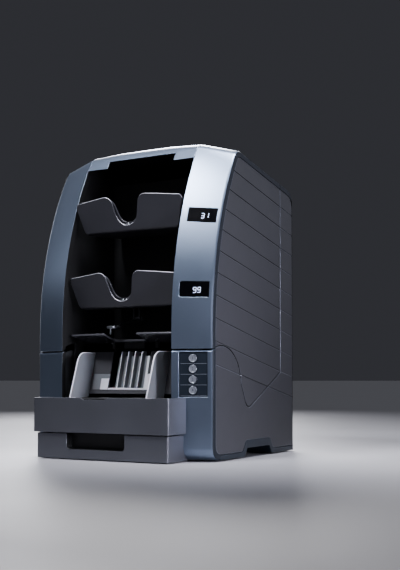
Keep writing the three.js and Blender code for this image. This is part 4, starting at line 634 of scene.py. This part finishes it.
# rubber feet
def rubberFoot(node):
    # a round pad with two flat rings and a sunk middle on its sole
    look = {
        "radius": 9 * mm, "sides": 64, "rings": (2.2 * mm, 1.6 * mm), "slope": 0.4 * mm, "groove": 0.5 * mm,
        "edge": 0.175 * mm, "segments": 2, "sharpAngle": 50,
    }
    low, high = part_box(node)
    middle = middleOf(node)
    form = bmesh.new()
    ring = bmesh.ops.create_circle(form, cap_ends=True, radius=look["radius"], segments=look["sides"],
                                   matrix=Matrix.Translation((middle.x, middle.y, low.z)))
    top = raisedVerts(form, ring["verts"][0].link_faces[0])
    bmesh.ops.translate(form, verts=top, vec=(0, 0, high.z - low.z))
    bmesh.ops.recalc_face_normals(form, faces=form.faces)
    sole = min(form.faces, key=lambda face: face.calc_center_median().z)
    for width in look["rings"]:
        bmesh.ops.inset_region(form, faces=[sole], thickness=width, depth=0)
    bmesh.ops.inset_region(form, faces=[sole], thickness=look["slope"], depth=-look["groove"])
    softenEdges(form, look["edge"], look["segments"], look["sharpAngle"])
    finishPiece("rubber_" + node, form, [nitrileRubber], node, (node,))


for node in ("foot_front_left", "foot_front_right", "foot_rear_left", "foot_rear_right"):
    rubberFoot(node)


# displays
def faceFrame(node):
    # across, up and outward axes on the largest forward face of a node
    forward = -0.5
    form = copyOf(node)
    form.normal_update()
    face = max((f for f in form.faces if f.normal.y < forward), key=lambda f: f.calc_area())
    place = squareTo(face.normal.copy(), face.calc_center_bounds())
    form.free()
    return place


def addBar(form, place, ends, width, depth):
    # one pointed bar of a digit, from six corners raised to its depth
    start, end = ends
    along = (end - start).normalized()
    side = Vector((-along.y, along.x)) * width / 2
    tip = along * width / 2
    corners = [start, start + tip + side, end - tip + side, end, end - tip - side, start + tip - side]
    face = form.faces.new([form.verts.new(place @ Vector((c.x, c.y, 0))) for c in reversed(corners)])
    bmesh.ops.translate(form, verts=raisedVerts(form, face), vec=(place.to_3x3() @ Vector(upwards)) * depth)


def displayDigits(node, text):
    # seven-bar digits standing just proud of a display window
    look = {
        "height": 7.4 * mm, "width": 4.2 * mm, "pitch": 6.5 * mm, "bar": 0.75 * mm, "barGap": 0.16,
        "slant": 0.12, "right": 3.8 * mm, "drop": 1.4 * mm, "lift": 0.02 * mm, "depth": 0.06 * mm,
    }
    half, tall = look["width"] / 2, look["height"] / 2
    gap = look["bar"] * look["barGap"]
    bars = {
        "a": ((-half, tall), (half, tall)), "b": ((half, tall), (half, 0)), "c": ((half, 0), (half, -tall)),
        "d": ((-half, -tall), (half, -tall)), "f": ((-half, tall), (-half, 0)), "g": ((-half, 0), (half, 0)),
    }
    barsOfDigit = {"1": "bc", "3": "abcdg", "9": "abcdfg"}
    place = faceFrame(node) @ Matrix.Translation((0, -look["drop"], look["lift"]))
    form = bmesh.new()
    for index, digit in enumerate(text):
        shift = look["right"] + (index - (len(text) - 1) / 2) * look["pitch"]
        for letter in barsOfDigit[digit]:
            start, end = [Vector(p) for p in bars[letter]]
            along = (end - start).normalized() * gap
            ends = [Vector((p.x + shift + p.y * look["slant"], p.y)) for p in (start + along, end - along)]
            addBar(form, place, ends, look["bar"], look["depth"])
    bmesh.ops.recalc_face_normals(form, faces=form.faces)
    finishPiece("digits_" + node, form, [segmentLight], node)


for node, text in (("display_window_upper", "31"), ("display_window_lower", "99")):
    dressNode(node, {"edge": 0.2 * mm}, [smokedAcrylic])
    displayDigits(node, text)


# keypad
def outwardOf(joint):
    # the direction opposite to a button's travel
    entry = next(j for j in frame["joints"] if j["name"] == joint)
    return -Vector(entry["axis"]).normalized()


def reachOf(node, direction):
    return max(direction.dot(v.co) for v in nodes[node].data.vertices)


def numeralMesh(text, size, depth):
    curve = bpy.data.curves.new("numeral", "FONT")
    curve.body = text
    curve.size = size
    curve.extrude = depth / 2
    curve.align_x = "CENTER"
    curve.align_y = "CENTER"
    holder = bpy.data.objects.new("numeral", curve)
    bpy.context.scene.collection.objects.link(holder)
    bpy.context.view_layer.update()
    mesh = bpy.data.meshes.new_from_object(holder.evaluated_get(bpy.context.evaluated_depsgraph_get()))
    bpy.data.objects.remove(holder)
    return mesh


def keypadButton(index):
    # a round cap with a raised rim, and its numeral printed in the dish
    look = {
        "radius": 5.6 * mm, "sides": 56, "tall": 4.2 * mm, "rim": 0.8 * mm, "slope": 0.48 * mm,
        "dish": 0.35 * mm, "edge": 0.3 * mm, "segments": 3, "sharpAngle": 30,
        "numeral": 5.4 * mm, "ink": 0.08 * mm,
    }
    node = f"keypad_button_{index}"
    outward = outwardOf(f"button_{index}_press")
    middle = middleOf(node)
    place = squareTo(outward, middle + outward * (reachOf(node, outward) - outward.dot(middle)))
    form = bmesh.new()
    ring = bmesh.ops.create_circle(form, cap_ends=True, radius=look["radius"], segments=look["sides"])
    rear = raisedVerts(form, ring["verts"][0].link_faces[0])
    bmesh.ops.translate(form, verts=rear, vec=(0, 0, -look["tall"]))
    bmesh.ops.recalc_face_normals(form, faces=form.faces)
    front = max(form.faces, key=lambda face: face.calc_center_median().z)
    bmesh.ops.inset_region(form, faces=[front], thickness=look["rim"], depth=0)
    bmesh.ops.inset_region(form, faces=[front], thickness=look["slope"], depth=-look["dish"])
    softenEdges(form, look["edge"], look["segments"], look["sharpAngle"])
    bmesh.ops.transform(form, matrix=place, verts=form.verts)
    finishPiece(f"key_{index}", form, [keyLacquer], node, (node,))
    numeral = bmesh.new()
    numeral.from_mesh(numeralMesh(str(index), look["numeral"], look["ink"]))
    inDish = place @ Matrix.Translation((0, 0, -look["dish"]))
    bmesh.ops.transform(numeral, matrix=inDish, verts=numeral.verts)
    finishPiece(f"key_numeral_{index}", numeral, [printInk], node)


def keypadDividers():
    # thin raised lines between the buttons and along the plate's foot
    look = {
        "wide": 39 * mm, "tall": 0.5 * mm, "deep": 0.5 * mm, "right": 0.9 * mm, "footDrop": 7.904 * mm,
        "sink": 0.05 * mm, "edge": 0.08 * mm,
    }
    outward = outwardOf("button_1_press")
    reach = reachOf("keypad_plate", outward) - look["sink"]
    middle = middleOf("keypad_plate")
    heights = [middleOf(f"keypad_button_{index}").z for index in (1, 2, 3, 4)]
    lines = [(upper + lower) / 2 for upper, lower in zip(heights, heights[1:])]
    form = bmesh.new()
    for height in (*lines, heights[-1] - look["footDrop"]):
        centre = Vector((middle.x + look["right"], middle.y, height))
        centre += outward * (reach - outward.dot(centre))
        addBox(form, squareTo(outward, centre), (look["wide"], look["tall"], look["deep"]))
    softenEdges(form, look["edge"])
    finishPiece("keypad_dividers", form, [keyLacquer], "keypad_plate")


dressNode("keypad_plate", {"edge": 0.3 * mm, "segments": 3}, [keypadLacquerAndChassisShade])
for index in (1, 2, 3, 4):
    keypadButton(index)
keypadDividers()
print("displays and keypad made")

# studio: soft lights over, behind and beside the machine, with a strong one over its front
lightLooks = {
    "keyLight": {"place": (-0.16, -0.82, 1.38), "aim": (0.1, -0.02, 0.45), "size": (0.42, 0.36),
                 "spread": 44, "power": 3.3, "colour": "#f4f7ff"},
    "topLight": {"place": (0.3, -0.2, 1.55), "aim": (0.06, -0.02, 0.46), "size": (0.5, 0.4),
                 "spread": 40, "power": 2.5, "colour": "#f4f6ff"},
    "backLight": {"place": (-0.55, 0.8, 1.3), "aim": (0.05, -0.02, 0.46), "size": (0.5, 0.3),
                  "spread": 50, "power": 2.8, "colour": "#f6f4f6"},
    "rearFillLight": {"place": (-1.3, 1.9, 0.9), "aim": (0.0, 0.16, 0.2), "size": (1.2, 1.0),
                      "spread": 80, "power": 11, "colour": "#f8f8ff"},
    "leftFillLight": {"place": (-1.6, 0.9, 0.6), "aim": (-0.157, 0.05, 0.25), "size": (1.0, 0.8),
                      "spread": 80, "power": 2, "colour": "#f4f6ff"},
    "leftCatchLight": {"place": (-1.25, -0.6, 0.85), "aim": (-0.15, -0.1, 0.32), "size": (0.3, 0.5),
                       "spread": 40, "power": 0.05, "colour": "#f0f4ff"},
    "rearRightLight": {"place": (1.15, 1.15, 0.75), "aim": (0.157, 0.02, 0.22), "size": (1.1, 0.9),
                       "spread": 60, "power": 0.6, "colour": "#e6e9ff"},
    "sideLight": {"place": (1.5, -0.35, 0.32), "aim": (0.157, -0.14, 0.15), "size": (0.3, 0.4),
                  "spread": 24, "power": 0.85, "colour": "#eeeeff"},
    "lowFillLight": {"place": (0.9, -1.6, 0.55), "aim": (0.0, 0.0, 0.2), "size": (1.2, 0.6),
                     "spread": 60, "power": 0.4, "colour": "#f2f0ff"},
}


def studioLight(name, look):
    data = bpy.data.lights.new(name, "AREA")
    data.shape = "RECTANGLE"
    data.size, data.size_y = look["size"]
    data.energy = look["power"]
    data.spread = math.radians(look["spread"])
    data.color = linearColour(look["colour"])[:3]
    lamp = bpy.data.objects.new(name, data)
    bpy.context.scene.collection.objects.link(lamp)
    lamp.location = look["place"]
    lamp.rotation_euler = (Vector(look["aim"]) - Vector(look["place"])).to_track_quat("-Z", "Y").to_euler()


def studioWorld():
    # a dim room with a soft bright ceiling that stays out of the picture
    look = {"low": "#48494f", "high": "#cfd2da", "reach": (0.42, 0.85), "strength": 0.5}
    world = bpy.data.worlds.new("studio")
    world.use_nodes = True
    tree = world.node_tree
    direction = addNode(tree, "ShaderNodeTexCoord").outputs["Generated"]
    parts = addNode(tree, "ShaderNodeSeparateXYZ", sockets={"Vector": direction})
    rise = addNode(tree, "ShaderNodeMapRange", sockets={
        "Value": parts.outputs["Z"], "From Min": look["reach"][0], "From Max": look["reach"][1]})
    tone = addNode(tree, "ShaderNodeMix", {"data_type": "RGBA"}, {
        "Factor": rise.outputs["Result"], "A": linearColour(look["low"]), "B": linearColour(look["high"])})
    background = tree.nodes["Background"]
    tree.links.new(tone.outputs["Result"], background.inputs["Color"])
    background.inputs["Strength"].default_value = look["strength"]
    bpy.context.scene.world = world


def studioFloor():
    # a plain pale floor that reaches past the picture's horizon
    halfSize = 40.0
    form = bmesh.new()
    bmesh.ops.create_grid(form, x_segments=1, y_segments=1, size=halfSize)
    mesh = bpy.data.meshes.new("studioFloor")
    form.to_mesh(mesh)
    form.free()
    mesh.materials.append(paintedFloor)
    floor = bpy.data.objects.new("studioFloor", mesh)
    bpy.context.scene.collection.objects.link(floor)


for name, look in lightLooks.items():
    studioLight(name, look)
studioWorld()
studioFloor()
print("studio set")
